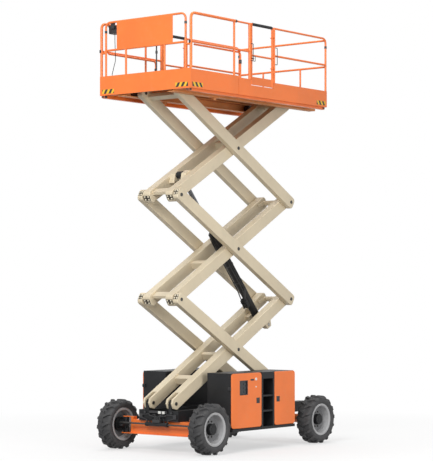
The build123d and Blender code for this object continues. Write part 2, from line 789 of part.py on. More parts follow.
def rear_rails():
    rear_x = deck_rear_x + rear_rail_in
    post_x = gate_rear_x - post_r
    pieces = []
    for side in (-1, 1):
        y = side * rail_y
        corner = [(rear_x, y, panel_top_z), (rear_x, y, top_rail_z), (post_x, y, top_rail_z)]
        pieces.append(bent_bar(corner, bend_r, rail_r))
        pieces.append(bar((post_x, y, panel_top_z), (post_x, y, top_rail_z), post_r))
        pieces.append(bar((rear_x, y, mid_rail_z), (post_x, y, mid_rail_z), rail_r))
        hinge_levels = (mid_rail_z - hinge_low_drop, top_rail_z - hinge_high_drop)
        pieces += [handed(gate_hinge(z), side) for z in hinge_levels]
    for z in (top_rail_z - rear_rail_drop, low_rail_z):
        pieces.append(bar((rear_x, -rail_y, z), (rear_x, rail_y, z), rail_r))
    for y in (-inner_post_y, inner_post_y):
        pieces.append(bar((rear_x, y, panel_top_z), (rear_x, y, low_rail_z), thin_rail_r))
    return fused(pieces)


def front_rails():
    y = rail_y
    inset = rail_y - thin_rail_inset
    front_x = deck_front_x - thin_rail_end
    post_x = gate_front_x + post_r
    pieces = [bar((post_x, y, panel_top_z), (post_x, y, top_rail_z), post_r)]
    pieces.append(bar((post_x, y, top_rail_z), (front_x, y, top_rail_z), thin_rail_r))
    pieces.append(bar((post_x, y, mid_rail_z), (extension_rear_x - body_gap, y, mid_rail_z), rail_r))
    # the fixed lower rail turns down to the deck at its rear end
    stay = [(front_x, inset, low_rail_z), (stay_x, inset, low_rail_z), (stay_x, inset, deck_z)]
    pieces.append(bent_bar(stay, stay_bend_r, thin_rail_r, steps=2))
    x = stay_x + stay_bend_r
    clamp_z = (low_rail_z - clamp_lip, mid_rail_z + clamp_lip)
    pieces.append(block(x - clamp_half, x + clamp_half, inset, y, *clamp_z))
    return fused(pieces)


side_board_top = panel_top_z + side_board_rise
front_board_top = side_board_top + front_board_rise


def extension_deck():
    x0, x1 = extension_rear_x, deck_front_x - panel_thick
    pieces = [block(x1, deck_front_x, -deck_half_width, deck_half_width, panel_low_z, front_board_top)]
    pieces.append(block(x0, x1, -deck_in_y, deck_in_y, deck_z + seat_gap, deck_z + extension_thick))
    low = panel_low_z + bearer_height + seat_gap
    top = under_deck_z - tie_thick - seat_gap
    for side in (-1, 1):
        pieces.append(block(x0, x1, side * deck_in_y, side * deck_half_width, panel_low_z, side_board_top))
        y0, y1 = side * (runner_y - runner_width / 2), side * (runner_y + runner_width / 2)
        pieces.append(block(runner_rear_x, x1, y0, y1, low, top))
        # bumper under the front corner
        near, far = side * (deck_in_y - bumper_in - bumper_width), side * (deck_in_y - bumper_in)
        bumper_x = deck_front_x - bumper_in
        pieces.append(block(x1, bumper_x, near, far, panel_low_z - bumper_drop, panel_low_z))
    return fused(pieces)


def extension_rails():
    x0, x1 = extension_rear_x, deck_front_x
    corner_x = x1 - corner_back
    face_x = x1 - hoop_back
    pieces = []
    for side in (-1, 1):
        y = side * rail_y
        bend_at = (corner_x, y, top_rail_z)
        corner = [(x0 + sleeve_start, y, top_rail_z), bend_at, (corner_x, y, front_board_top)]
        pieces.append(bent_bar(corner, bend_r, sleeve_r))
        post_x = x0 + sleeve_post
        pieces.append(bar((post_x, y, side_board_top), (post_x, y, top_rail_z), rail_r))
        pieces.append(bar((x0, y, mid_rail_z), (corner_x, y, mid_rail_z), rail_r))
        z = mid_rail_z - corner_tie_drop
        pieces.append(bar((corner_x, y, z), (face_x, side * hoop_y, z), rail_r))
    low, high = front_board_top, top_rail_z
    hoop = [(face_x, -hoop_y, low), (face_x, -hoop_y, high), (face_x, hoop_y, high), (face_x, hoop_y, low)]
    pieces.append(bent_bar(hoop, bend_r, rail_r))
    pieces.append(bar((face_x, -hoop_y, mid_rail_z), (face_x, hoop_y, mid_rail_z), rail_r))
    for y in (-inner_post_y, inner_post_y):
        pieces.append(bar((face_x, y, low), (face_x, y, mid_rail_z), rail_r))
    sheet_x = (x1 - 2 * sheet_thick, x1 - sheet_thick)
    pieces.append(block(*sheet_x, -sheet_half, sheet_half, mid_rail_z, top_rail_z))
    rails = fused(pieces)
    for side in (-1, 1):
        y = side * rail_y
        start, end = (x0 + sleeve_start - 10, y, top_rail_z), (x1 - sleeve_bore_end, y, top_rail_z)
        rails = rails - bore(start, end, thin_rail_r, sleeve_play)
    return rails


def gate():
    low = deck_z + gate_low_gap
    x0, x1 = gate_rear_x + body_gap + rail_r, gate_front_x - body_gap - rail_r
    y = rail_y
    pieces = [bar((x, y, low), (x, y, top_rail_z), rail_r) for x in (x0, x1)]
    pieces.append(bar((x0, y, top_rail_z), (x1, y, top_rail_z), grip_r))
    z = mid_rail_z - gate_bar_drop
    pieces.append(bar((x0, y, z), (x1, y, z), thin_rail_r))
    pieces.append(block(x0, x1, y - gate_plate_half, y + gate_plate_half, low, low + kick_height))
    return fused(pieces)


def gate_hinge(z):
    # an eye plate on the rear post, in which the gate's rear bar turns
    x = gate_rear_x + body_gap + rail_r
    reach = rail_r + hinge_lip
    low, high = z - gate_plate_half, z + gate_plate_half
    plate = block(gate_rear_x - post_r, x + reach, rail_y - reach, rail_y + reach, low, high)
    return plate - bore((x, rail_y, low), (x, rail_y, high), rail_r)


def control_box():
    x1 = deck_front_x - control_back
    y = control_in - deck_half_width
    top = top_rail_z - control_drop
    length, width, height = control_size
    box = block(x1 - length, x1, y - width / 2, y + width / 2, top - height, top)
    rail_flat = rail_r * math.cos(math.pi / 8)
    half = control_hook / 2
    hook_x = deck_front_x - hoop_back - rail_flat - seat_gap
    hook = block(x1, hook_x, y - half, y + half, top - half, top_rail_z + gate_plate_half)
    stick_x = x1 - length / 2
    stick = bar((stick_x, y + stick_side, top), (stick_x, y + stick_side, top_rail_z + 10), stick_r)
    return box + hook + stick


def main():
    wheels()
    for hand, side in sides:
        save(handed(knuckle(), side), f"knuckle_{hand}")
        save(handed(gate(), side), f"gate_{hand}")
        save(handed(front_rails(), side), f"front_rails_{hand}")
        save(handed(roller_track(), side), f"roller_track_{hand}")
    save(front_axle(), "front_axle")
    save(rear_axle(), "rear_axle")
    steering()
    arms()
    lift_cylinder()
    save(chassis(), "chassis_frame")
    boxes()
    save(platform_frame(), "platform_frame")
    save(deck_plate(), "deck_plate")
    save(toe_boards(), "toe_boards")
    save(rear_rails(), "rear_rails")
    save(extension_deck(), "extension_deck")
    save(extension_rails(), "extension_rails")
    save(control_box(), "control_box")


main()
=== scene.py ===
import json
import math

import bmesh
import bpy
from mathutils import Matrix, Vector


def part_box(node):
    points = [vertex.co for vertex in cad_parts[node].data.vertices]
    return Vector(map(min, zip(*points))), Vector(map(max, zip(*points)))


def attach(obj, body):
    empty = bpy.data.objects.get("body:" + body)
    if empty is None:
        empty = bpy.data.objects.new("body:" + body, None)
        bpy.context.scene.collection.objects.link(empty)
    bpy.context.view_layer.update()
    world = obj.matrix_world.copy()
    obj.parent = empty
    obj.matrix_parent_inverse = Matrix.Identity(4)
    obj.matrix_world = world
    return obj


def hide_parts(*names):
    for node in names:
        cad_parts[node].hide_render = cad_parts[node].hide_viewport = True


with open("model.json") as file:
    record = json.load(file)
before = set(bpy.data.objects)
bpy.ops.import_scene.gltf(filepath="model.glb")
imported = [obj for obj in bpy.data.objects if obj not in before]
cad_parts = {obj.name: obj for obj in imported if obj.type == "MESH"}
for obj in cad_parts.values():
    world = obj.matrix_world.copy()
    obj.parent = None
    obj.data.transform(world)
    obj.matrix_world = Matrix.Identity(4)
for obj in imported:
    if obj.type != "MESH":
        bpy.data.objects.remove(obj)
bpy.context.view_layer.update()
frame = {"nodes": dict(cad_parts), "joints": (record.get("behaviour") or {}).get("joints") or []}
joints = {joint["name"]: joint for joint in frame["joints"]}
sideSigns = {"left": 1, "right": -1}


def jointPlace(name):
    return Vector(joints[name]["pos_m"])


def handed(side, near, far):
    # two distances from the middle, on one side, low first
    return sorted((side * near, side * far))


# finishes

def newMaterial(name):
    material = bpy.data.materials.new(name)
    material.use_nodes = True
    tree = material.node_tree
    return material, tree, tree.nodes["Principled BSDF"]


def setInputs(node, **numbers):
    # socket names as keywords, with _ for a space
    for name, number in numbers.items():
        node.inputs[name.replace("_", " ")].default_value = number


def toneOf(color, factor):
    return tuple(min(1.0, c * factor) for c in color[:3]) + (1.0,)


def mathNode(tree, operation, *values):
    # one sum, on sockets or plain numbers
    node = tree.nodes.new("ShaderNodeMath")
    node.operation = operation
    for socket, value in zip(node.inputs, values):
        if isinstance(value, (int, float)):
            socket.default_value = value
        else:
            tree.links.new(value, socket)
    return node.outputs[0]


def cloud(tree, scale, detail, stretch=(1, 1, 1)):
    # noise on the piece's own coordinates
    coords = tree.nodes.new("ShaderNodeTexCoord")
    place = tree.nodes.new("ShaderNodeMapping")
    noise = tree.nodes.new("ShaderNodeTexNoise")
    setInputs(place, Scale=stretch)
    setInputs(noise, Scale=scale, Detail=detail)
    tree.links.new(coords.outputs["Object"], place.inputs["Vector"])
    tree.links.new(place.outputs["Vector"], noise.inputs["Vector"])
    return noise.outputs["Fac"]


def spread(tree, value, low, high, toLow, toHigh):
    ranged = tree.nodes.new("ShaderNodeMapRange")
    setInputs(ranged, From_Min=low, From_Max=high, To_Min=toLow, To_Max=toHigh)
    tree.links.new(value, ranged.inputs["Value"])
    return ranged.outputs["Result"]


def relief(tree, shader, height, strength, distance):
    bump = tree.nodes.new("ShaderNodeBump")
    setInputs(bump, Strength=strength, Distance=distance)
    tree.links.new(height, bump.inputs["Height"])
    tree.links.new(bump.outputs["Normal"], shader.inputs["Normal"])


def mixColor(tree, factor, first, second):
    mixed = tree.nodes.new("ShaderNodeMix")
    mixed.data_type = "RGBA"
    tree.links.new(factor, mixed.inputs["Factor"])
    for socket, value in ((mixed.inputs[6], first), (mixed.inputs[7], second)):
        if isinstance(value, tuple):
            socket.default_value = value
        else:
            tree.links.new(value, socket)
    return mixed.outputs[2]


def paint(name, color, change, patch, dust, dustColor, rub, gloss, coat, shine=0.5):
    # sprayed paint: slow change of tone, orange-peel relief, a little dust and a few rubbed specks
    material, tree, shader = newMaterial(name)
    broad = spread(tree, cloud(tree, patch, 5), 0.35, 0.65, 0, 1)
    tone = mixColor(tree, broad, toneOf(color, 1 - change), toneOf(color, 1 + change))
    dustNoise = cloud(tree, 9, 8)
    tone = mixColor(tree, spread(tree, dustNoise, 0.52, 0.8, 0, dust), tone, dustColor)
    rubbed = spread(tree, cloud(tree, 45, 3), 0.76, 0.8, 0, rub)
    tone = mixColor(tree, rubbed, tone, toneOf(color, 0.55))
    tree.links.new(tone, shader.inputs["Base Color"])
    tree.links.new(spread(tree, dustNoise, 0.3, 0.8, gloss, gloss + 0.16), shader.inputs["Roughness"])
    setInputs(shader, Coat_Weight=coat, Coat_Roughness=0.22, Specular_IOR_Level=shine)
    relief(tree, shader, cloud(tree, 120, 2), 0.05, 0.0004)
    return material


paints = {
    "orangePaint": dict(color=(0.90, 0.195, 0.030), change=0.05, patch=1.6, dust=0.12,
                        dustColor=(0.72, 0.36, 0.19, 1), rub=0.25, gloss=0.36, coat=0.22),
    # a browner, duller copy of the orange paint for the faces under the deck: painted shade, with some dust
    "underShadePaint": dict(color=(0.72, 0.29, 0.1), change=0.12, patch=2.4, dust=0.5,
                       dustColor=(0.5, 0.36, 0.22, 1), rub=0.3, gloss=0.5, coat=0.0, shine=0.3),
    "creamPaint": dict(color=(0.70, 0.60, 0.43), change=0.05, patch=1.3, dust=0.22,
                       dustColor=(0.52, 0.47, 0.37, 1), rub=0.3, gloss=0.42, coat=0.1),
    "blackPaint": dict(color=(0.016, 0.0165, 0.018), change=0.2, patch=2.2, dust=0.16,
                       dustColor=(0.045, 0.043, 0.04, 1), rub=0.3, gloss=0.4, coat=0.03, shine=0.22),
    "rimPaint": dict(color=(0.41, 0.41, 0.415), change=0.06, patch=3.0, dust=0.3,
                     dustColor=(0.3, 0.29, 0.28, 1), rub=0.4, gloss=0.34, coat=0.1),
    # a darker copy of the rim grey for the disc recessed in the rim's bowl: painted shade
    "discShadePaint": dict(color=(0.16, 0.16, 0.165), change=0.1, patch=4.0, dust=0.35,
                      dustColor=(0.12, 0.115, 0.11, 1), rub=0.4, gloss=0.42, coat=0.05),
    "endPaint": dict(color=(0.045, 0.036, 0.026), change=0.15, patch=6.0, dust=0.25,
                     dustColor=(0.1, 0.085, 0.065, 1), rub=0.4, gloss=0.5, coat=0.0, shine=0.3),
    "headPaint": dict(color=(0.72, 0.66, 0.52), change=0.08, patch=9.0, dust=0.3,
                      dustColor=(0.5, 0.44, 0.34, 1), rub=0.3, gloss=0.4, coat=0.0),
}
orangePaint, underShadePaint, creamPaint, blackPaint, rimPaint, discShadePaint, endPaint, headPaint = (
    paint(name, **look) for name, look in paints.items())


def metal(name, color, rough, brush):
    # bare metal with fine turning or grinding marks
    material, tree, shader = newMaterial(name)
    setInputs(shader, Metallic=1.0)
    streaks = cloud(tree, 60, 4, brush)
    tone = mixColor(tree, spread(tree, streaks, 0.3, 0.7, 0, 1), toneOf(color, 0.82), toneOf(color, 1.12))
    tree.links.new(tone, shader.inputs["Base Color"])
    tree.links.new(spread(tree, streaks, 0.2, 0.8, rough, rough + 0.15), shader.inputs["Roughness"])
    relief(tree, shader, streaks, 0.08, 0.0003)
    return material


metals = {
    # the rod's chrome is darkened to stand in for the dark surroundings it reflects: a painted reflection
    "darkenedChromeRod": dict(color=(0.13, 0.132, 0.14), rough=0.2, brush=(1, 1, 0.2)),
    "boltSteel": dict(color=(0.34, 0.33, 0.31), rough=0.36, brush=(1, 1, 1)),
    "darkSteel": dict(color=(0.09, 0.088, 0.085), rough=0.42, brush=(1, 1, 1)),
}
darkenedChromeRod, boltSteel, darkSteel = (metal(name, **look) for name, look in metals.items())


def rubber(name, color, dust, dustColor, dustScale, gloss, pits):
    # moulded rubber or plastic: dull, a little grey dust, fine pitting
    material, tree, shader = newMaterial(name)
    dustNoise = cloud(tree, dustScale, 7)
    tone = mixColor(tree, spread(tree, dustNoise, 0.42, 0.72, 0, dust), toneOf(color, 1), dustColor)
    tree.links.new(tone, shader.inputs["Base Color"])
    tree.links.new(spread(tree, dustNoise, 0.3, 0.7, gloss, gloss + 0.15), shader.inputs["Roughness"])
    relief(tree, shader, cloud(tree, pits, 3), 0.3, 0.0012)
    return material


rubbers = {
    "tyreRubber": dict(color=(0.036, 0.036, 0.038), dust=0.55, dustColor=(0.085, 0.082, 0.08, 1), dustScale=11,
                       gloss=0.62, pits=170),
    "foamGrip": dict(color=(0.02, 0.02, 0.022), dust=0.3, dustColor=(0.045, 0.045, 0.047, 1), dustScale=40,
                     gloss=0.8, pits=420),
    "hoseRubber": dict(color=(0.022, 0.022, 0.024), dust=0.3, dustColor=(0.06, 0.058, 0.055, 1), dustScale=30,
                       gloss=0.45, pits=300),
    "mouldedPlastic": dict(color=(0.02, 0.021, 0.023), dust=0.25, dustColor=(0.05, 0.05, 0.052, 1), dustScale=25,
                           gloss=0.4, pits=520),
}
tyreRubber, foamGrip, hoseRubber, mouldedPlastic = (rubber(name, **look) for name, look in rubbers.items())


def treadSheet():
    # deck sheet with raised anti-slip bars, crossing on a fine grid
    material, tree, shader = newMaterial("treadSheet")
    coords = tree.nodes.new("ShaderNodeTexCoord")
    heights = []
    for turn in (45, -45):
        place = tree.nodes.new("ShaderNodeMapping")
        setInputs(place, Rotation=(0, 0, math.radians(turn)), Scale=(38, 38, 38))
        bars = tree.nodes.new("ShaderNodeTexBrick")
        setInputs(bars, Scale=1, Mortar_Size=0.17, Mortar_Smooth=0.6)
        tree.links.new(coords.outputs["Object"], place.inputs["Vector"])
        tree.links.new(place.outputs["Vector"], bars.inputs["Vector"])
        heights.append(bars.outputs["Fac"])
    wear = cloud(tree, 5, 8)
    worn = spread(tree, wear, 0.35, 0.7, 0, 1)
    tree.links.new(mixColor(tree, worn, (0.16, 0.155, 0.15, 1), (0.26, 0.25, 0.235, 1)), shader.inputs["Base Color"])
    setInputs(shader, Metallic=0.6)
    tree.links.new(spread(tree, wear, 0.3, 0.7, 0.42, 0.62), shader.inputs["Roughness"])
    relief(tree, shader, mathNode(tree, "MULTIPLY", *heights), 0.9, 0.003)
    return material


def hazardStripes():
    # slanting yellow and black bands for the platform's corners
    material, tree, shader = newMaterial("hazardStripes")
    bandWidth, slant, soft = 0.055, -0.6, (0.026, 0.029)
    coords = tree.nodes.new("ShaderNodeTexCoord")
    parts = tree.nodes.new("ShaderNodeSeparateXYZ")
    tree.links.new(coords.outputs["Object"], parts.inputs["Vector"])
    along = mathNode(tree, "ADD", parts.outputs["X"], parts.outputs["Y"])
    leaning = mathNode(tree, "MULTIPLY_ADD", parts.outputs["Z"], slant, along)
    dark = spread(tree, mathNode(tree, "PINGPONG", leaning, bandWidth), *soft, 0, 1)
    worn = cloud(tree, 30, 5)
    yellow = mixColor(tree, spread(tree, worn, 0.4, 0.8, 0, 1), (0.86, 0.52, 0.02, 1), (0.7, 0.42, 0.06, 1))
    tree.links.new(mixColor(tree, dark, yellow, (0.02, 0.02, 0.02, 1)), shader.inputs["Base Color"])
    tree.links.new(spread(tree, worn, 0.3, 0.7, 0.35, 0.5), shader.inputs["Roughness"])
    return material


def darkGlass():
    material, tree, shader = newMaterial("darkGlass")
    film = cloud(tree, 14, 4)
    filmed = spread(tree, film, 0.3, 0.7, 0, 1)
    tone = mixColor(tree, filmed, (0.012, 0.014, 0.017, 1), (0.03, 0.033, 0.038, 1))
    tree.links.new(tone, shader.inputs["Base Color"])
    tree.links.new(spread(tree, film, 0.3, 0.7, 0.06, 0.16), shader.inputs["Roughness"])
    return material


def lampLens(name, color):
    material, tree, shader = newMaterial(name)
    ribs = cloud(tree, 240, 2)
    tone = mixColor(tree, spread(tree, ribs, 0.3, 0.7, 0, 1), toneOf(color, 0.8), toneOf(color, 1.1))
    tree.links.new(tone, shader.inputs["Base Color"])
    setInputs(shader, Roughness=0.12)
    relief(tree, shader, ribs, 0.4, 0.0008)
    return material


deckSheet = treadSheet()
stripes = hazardStripes()
windowGlass = darkGlass()
paleLens = lampLens("paleLens", (0.8, 0.8, 0.76))
print("finishes made")


# shape helpers

def newShape():
    return bmesh.new()


def roundEdges(shape, edges, offset, segments=2, clamp=False):
    bmesh.ops.bevel(shape, geom=edges, offset=offset, segments=segments, profile=0.5, affect="EDGES", material=-1,
                    clamp_overlap=clamp)


def sharpEdges(shape, degrees):
    return [e for e in shape.edges if len(e.link_faces) == 2 and e.calc_face_angle(0) > math.radians(degrees)]


def edgesOf(verts):
    return list({e for v in verts for e in v.link_edges})


def addTo(shape, part):
    # one shape's faces added to another's
    mesh = bpy.data.meshes.new("part")
    part.to_mesh(mesh)
    part.free()
    shape.from_mesh(mesh)
    bpy.data.meshes.remove(mesh)


def mirrored(half, middle=()):
    # half of a profile along its axis, the points in the middle, then the half turned round
    return [*half, *middle, *((-along, radius) for along, radius in reversed(half))]


def facing(place, direction):
    # a frame at a point with its Z along a direction
    return Matrix.Translation(place) @ Vector(direction).to_track_quat("Z", "Y").to_matrix().to_4x4()


def blockAt(shape, low, high, edge=0.003, segments=2, place=None):
    # a box between two corners with all its edges rounded
    low, high = Vector(low), Vector(high)
    size = Vector([abs(b - a) for a, b in zip(low, high)])
    grown = Matrix.Translation((low + high) / 2) @ Matrix.Diagonal((*size, 1))
    if place is not None:
        grown = place @ grown
    made = bmesh.ops.create_cube(shape, size=1, matrix=grown)["verts"]
    if edge:
        roundEdges(shape, edgesOf(made), edge, segments)


def roundAt(shape, start, end, radius, sides=32, edge=0.0015):
    # a round bar between two points, its two rims rounded
    start, end = Vector(start), Vector(end)
    made = bmesh.ops.create_cone(shape, cap_ends=True, segments=sides, radius1=radius, radius2=radius,
                                 depth=(end - start).length, matrix=facing((start + end) / 2, end - start))["verts"]
    if edge:
        roundEdges(shape, [e for e in edgesOf(made) if any(len(f.verts) > 4 for f in e.link_faces)], edge)


def turnedAt(shape, profile, centre, axis, steps=64):
    # (place along the axis, radius) pairs turned into a closed round form
    centre, axis = Vector(centre), Vector(axis)
    place = facing(centre, axis)
    before = set(shape.verts)
    points = [shape.verts.new(place @ Vector((radius, 0, along))) for along, radius in profile]
    edges = [shape.edges.new(pair) for pair in zip(points, points[1:])]
    bmesh.ops.spin(shape, geom=points + edges, cent=centre, axis=axis, angle=2 * math.pi, steps=steps, use_merge=True)
    made = [v for v in shape.verts if v not in before]
    bmesh.ops.remove_doubles(shape, verts=made, dist=0.00002)


def boltAt(shape, centre, direction, radius=0.012, height=0.009, washer=0.003):
    # a hexagon head on its washer
    centre, direction = Vector(centre), Vector(direction).normalized()
    for sides, wide, narrow, deep, rise in ((20, radius * 1.35, radius * 1.35, washer, washer / 2),
                                            (6, radius, radius * 0.94, height, washer + height / 2)):
        bmesh.ops.create_cone(shape, cap_ends=True, segments=sides, radius1=wide, radius2=narrow, depth=deep,
                              matrix=facing(centre + direction * rise, direction))


def pipeRun(shape, points, radius, bend=0.0, sides=20):
    # a bent tube: straight runs joined by true round bends
    points = [Vector(p) for p in points]
    curve = bpy.data.curves.new("run", "CURVE")
    curve.dimensions = "3D"
    curve.bevel_depth = radius
    curve.bevel_resolution = max(1, sides // 4 - 1)
    curve.resolution_u = 8
    curve.use_fill_caps = True
    spline = curve.splines.new("BEZIER")
    knots = [(points[0], None, None)]
    for before, corner, after in zip(points, points[1:], points[2:]):
        back, on = (before - corner).normalized(), (after - corner).normalized()
        turn = math.pi - back.angle(on)
        reach = bend * math.tan(turn / 2)
        handle = 4 / 3 * math.tan(turn / 4) * bend
        first, last = corner + back * reach, corner + on * reach
        knots.append((first, None, first - back * handle))
        knots.append((last, last - on * handle, None))
    knots.append((points[-1], None, None))
    spline.bezier_points.add(len(knots) - 1)
    for index, (knot, (place, left, right)) in enumerate(zip(spline.bezier_points, knots)):
        knot.co = place
        knot.handle_left_type = knot.handle_right_type = "FREE"
        toBack = knots[index - 1][0] if index else place
        toNext = knots[index + 1][0] if index < len(knots) - 1 else place
        knot.handle_left = left if left is not None else place + (toBack - place) / 3
        knot.handle_right = right if right is not None else place + (toNext - place) / 3
    holder = bpy.data.objects.new("run", curve)
    mesh = bpy.data.meshes.new_from_object(holder)
    shape.from_mesh(mesh)
    bpy.data.objects.remove(holder)
    bpy.data.curves.remove(curve)
    bpy.data.meshes.remove(mesh)


def nodeShape(node):
    # a CAD node's own form, with its flat faces whole
    shape = newShape()
    shape.from_mesh(frame["nodes"][node].data)
    bmesh.ops.remove_doubles(shape, verts=shape.verts, dist=0.00001)
    bmesh.ops.dissolve_limit(shape, angle_limit=math.radians(0.5), verts=shape.verts, edges=shape.edges)
    return shape


def softCopy(node, edge=0.003, segments=2):
    shape = nodeShape(node)
    roundEdges(shape, sharpEdges(shape, 30), edge, segments, clamp=True)
    return shape


def finishPiece(shape, name, body, material, nodes=(), smooth=35):
    bmesh.ops.recalc_face_normals(shape, faces=shape.faces)
    for face in shape.faces:
        face.smooth = True
    for edge in shape.edges:
        edge.smooth = len(edge.link_faces) == 2 and edge.calc_face_angle(0) < math.radians(smooth)
    mesh = bpy.data.meshes.new(name)
    shape.to_mesh(mesh)
    shape.free()
    mesh.materials.append(material)
    piece = bpy.data.objects.new(name, mesh)
    bpy.context.scene.collection.objects.link(piece)
    flat = piece.modifiers.new("flatFaces", "WEIGHTED_NORMAL")
    flat.keep_sharp = True
    flat.weight = 100
    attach(piece, body)
    if nodes:
        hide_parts(*nodes)
    return piece


# wheels: carcass, rows of slanted lugs, dished rim and planetary hub
wheel = dict(lugs=16, lugTop=0.4438, lugRoot=0.385, lugWidth=0.052, lugStart=0.004, lean=-0.038, turn=0.0525,
             shoulderStart=0.72, shoulderDrop=0.045, floor=0.408, flange=0.293, seat=0.268, rimHalf=0.131,
             discFace=0.012, hub=0.100, hubNose=0.084, studs=10, studCircle=0.138)


def lugRow(shape, half, hand, start):
    # one lug shaped from a cut box, then copied round the carcass
    row = newShape()
    bmesh.ops.create_cube(row, size=1)
    long = [e for e in row.edges if abs((e.verts[0].co - e.verts[1].co).y) > 0.5]
    bmesh.ops.subdivide_edges(row, edges=long, cuts=5, use_grid_fill=True)
    for v in row.verts:
        along, top, side = v.co.y + 0.5, v.co.z > 0, v.co.x * 2
        reach = wheel["lugStart"] + along * (half - wheel["lugStart"])
        drop = max(0.0, along - wheel["shoulderStart"]) / (1 - wheel["shoulderStart"])
        height = wheel["lugTop"] - wheel["shoulderDrop"] * drop ** 1.5 if top else wheel["lugRoot"]
        width = wheel["lugWidth"] / 2 * (0.74 + 0.16 * along if top else 1.12)
        angle = (-wheel["lean"] + 2 * wheel["lean"] * along ** 0.8 + side * width) / wheel["lugTop"]
        v.co = Vector((height * math.sin(angle), hand * reach, height * math.cos(angle)))
    upper = [e for e in row.edges if all(v.co.xz.length > wheel["lugRoot"] + 0.003 for v in e.verts)
             and e.calc_face_angle(0) > 0.6]
    roundEdges(row, upper, 0.004, clamp=True)
    for v in row.verts:
        reach = v.co.xz.length
        if reach > wheel["lugTop"]:
            v.co = Vector((v.co.x * wheel["lugTop"] / reach, v.co.y, v.co.z * wheel["lugTop"] / reach))
    bmesh.ops.rotate(row, verts=row.verts, cent=(0, 0, 0), matrix=Matrix.Rotation(start, 3, "Y"))
    bmesh.ops.spin(row, geom=row.verts[:] + row.edges[:] + row.faces[:], cent=(0, 0, 0), axis=(0, 1, 0),
                   angle=2 * math.pi * (wheel["lugs"] - 1) / wheel["lugs"], steps=wheel["lugs"] - 1,
                   use_duplicate=True)
    addTo(shape, row)


def wheelSet(end, hand):
    low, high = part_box(f"tyre_{end}_{hand}")
    centre, half = (low + high) / 2, (high.y - low.y) / 2
    place = Matrix.Translation((centre.x, centre.y, jointPlace(f"wheel_{end}_{hand}_spin").z))
    place = place @ Matrix.Diagonal((1, sideSigns[hand], 1, 1))

    def fit(shape, name, material, nodes=()):
        bmesh.ops.transform(shape, matrix=place, verts=shape.verts)
        finishPiece(shape, f"{name}_{end}_{hand}", f"wheel_{end}_{hand}", material, nodes)

    def turned(profile, steps):
        shape = newShape()
        turnedAt(shape, profile, (0, 0, 0), (0, 1, 0), steps)
        return shape

    floor = wheel["floor"]
    section = [(0.114, 0.2695), (0.126, 0.286), (0.130, 0.302), (0.1425, 0.318), (0.148, 0.330), (0.1475, 0.334),
               (0.150, 0.338), (0.151, 0.352), (0.1495, 0.366), (0.146, 0.380), (0.138, 0.394), (0.122, 0.404),
               (0.09, floor)]
    crown = [(0.04, floor + 0.002), (-0.04, floor + 0.002)]
    tyre = turned(mirrored(section, crown) + [section[0]], 96)
    pitch = 2 * math.pi / wheel["lugs"]
    for way in (1, -1):
        lugRow(tyre, half - 0.0015, way, wheel["turn"] + way * pitch / 4)
    fit(tyre, "lugTyre", tyreRubber, [f"tyre_{end}_{hand}"])

    h, f, s, d = wheel["rimHalf"], wheel["flange"], wheel["seat"], wheel["discFace"]
    ring = [(h, f - 0.004), (h - 0.003, f), (h - 0.010, f - 0.002), (h - 0.014, s + 0.002), (h - 0.06, s - 0.006),
            (h - 0.09, s - 0.03), (-h + 0.07, s - 0.03), (-h + 0.04, s - 0.006), (-h + 0.014, s + 0.002),
            (-h + 0.010, f - 0.002), (-h + 0.003, f), (-h, f - 0.004), (-h + 0.006, s - 0.012),
            (-h + 0.05, s - 0.018), (d - 0.03, s - 0.042), (d + 0.006, s - 0.042), (h - 0.05, s - 0.024),
            (h - 0.012, s - 0.020), (h - 0.001, s - 0.010), (h, f - 0.004)]
    fit(turned(ring, 96), "dishedRim", rimPaint, [f"rim_{end}_{hand}"])
    # the disc in the rim's bowl takes the darker grey, which is painted shade
    dish = [(d - 0.026, s - 0.040), (d - 0.022, s - 0.065), (d - 0.014, 0.16), (d - 0.014, wheel["hub"]),
            (d, wheel["hub"]), (d, 0.160), (d - 0.006, 0.168), (d - 0.008, s - 0.058), (d + 0.003, s - 0.040),
            (d - 0.026, s - 0.040)]
    fit(turned(dish, 80), "wheelDisc", discShadePaint)
    r, nose = wheel["hub"], d + wheel["hubNose"]
    cap = [(d - 0.074, 0), (d - 0.074, 0.120), (d - 0.070, 0.127), (d - 0.020, 0.127), (d - 0.0145, 0.120),
           (d - 0.0145, r - 0.002), (nose - 0.045, r - 0.002), (nose - 0.040, r - 0.006), (nose - 0.036, r - 0.002),
           (nose - 0.012, r - 0.004), (nose - 0.006, r - 0.012), (nose - 0.006, 0.052), (nose, 0.048), (nose, 0)]
    fit(turned(cap, 64), "planetHub", blackPaint)

    studs = newShape()
    for index in range(wheel["studs"]):
        angle = 2 * math.pi * index / wheel["studs"]
        ray = Vector((math.cos(angle), 0, math.sin(angle)))
        boltAt(studs, ray * wheel["studCircle"] + Vector((0, d - 0.001, 0)), (0, 1, 0), 0.013, 0.014)
        boltAt(studs, ray * (r - 0.022) + Vector((0, nose - 0.0065, 0)), (0, 1, 0), 0.007, 0.005)
    fit(studs, "wheelStuds", darkSteel)


for end in ("front", "rear"):
    for hand in sideSigns:
        wheelSet(end, hand)
print("wheels made")


# scissor arms: rounded box tubes with pins and bolted end blocks
arm = dict(halfHeight=0.1075, end=0.090, corner=0.060, edge=0.012, outer=(0.351, 0.461), inner=(0.179, 0.339),
           pin=0.0315, pinCap=0.017, slot=0.040, slotDepth=0.190, crossTube=0.0475, gussetIn=0.05,
           plateHalf=0.046, boltUp=0.025, bracketFoot=0.17, bracketTop=0.06)
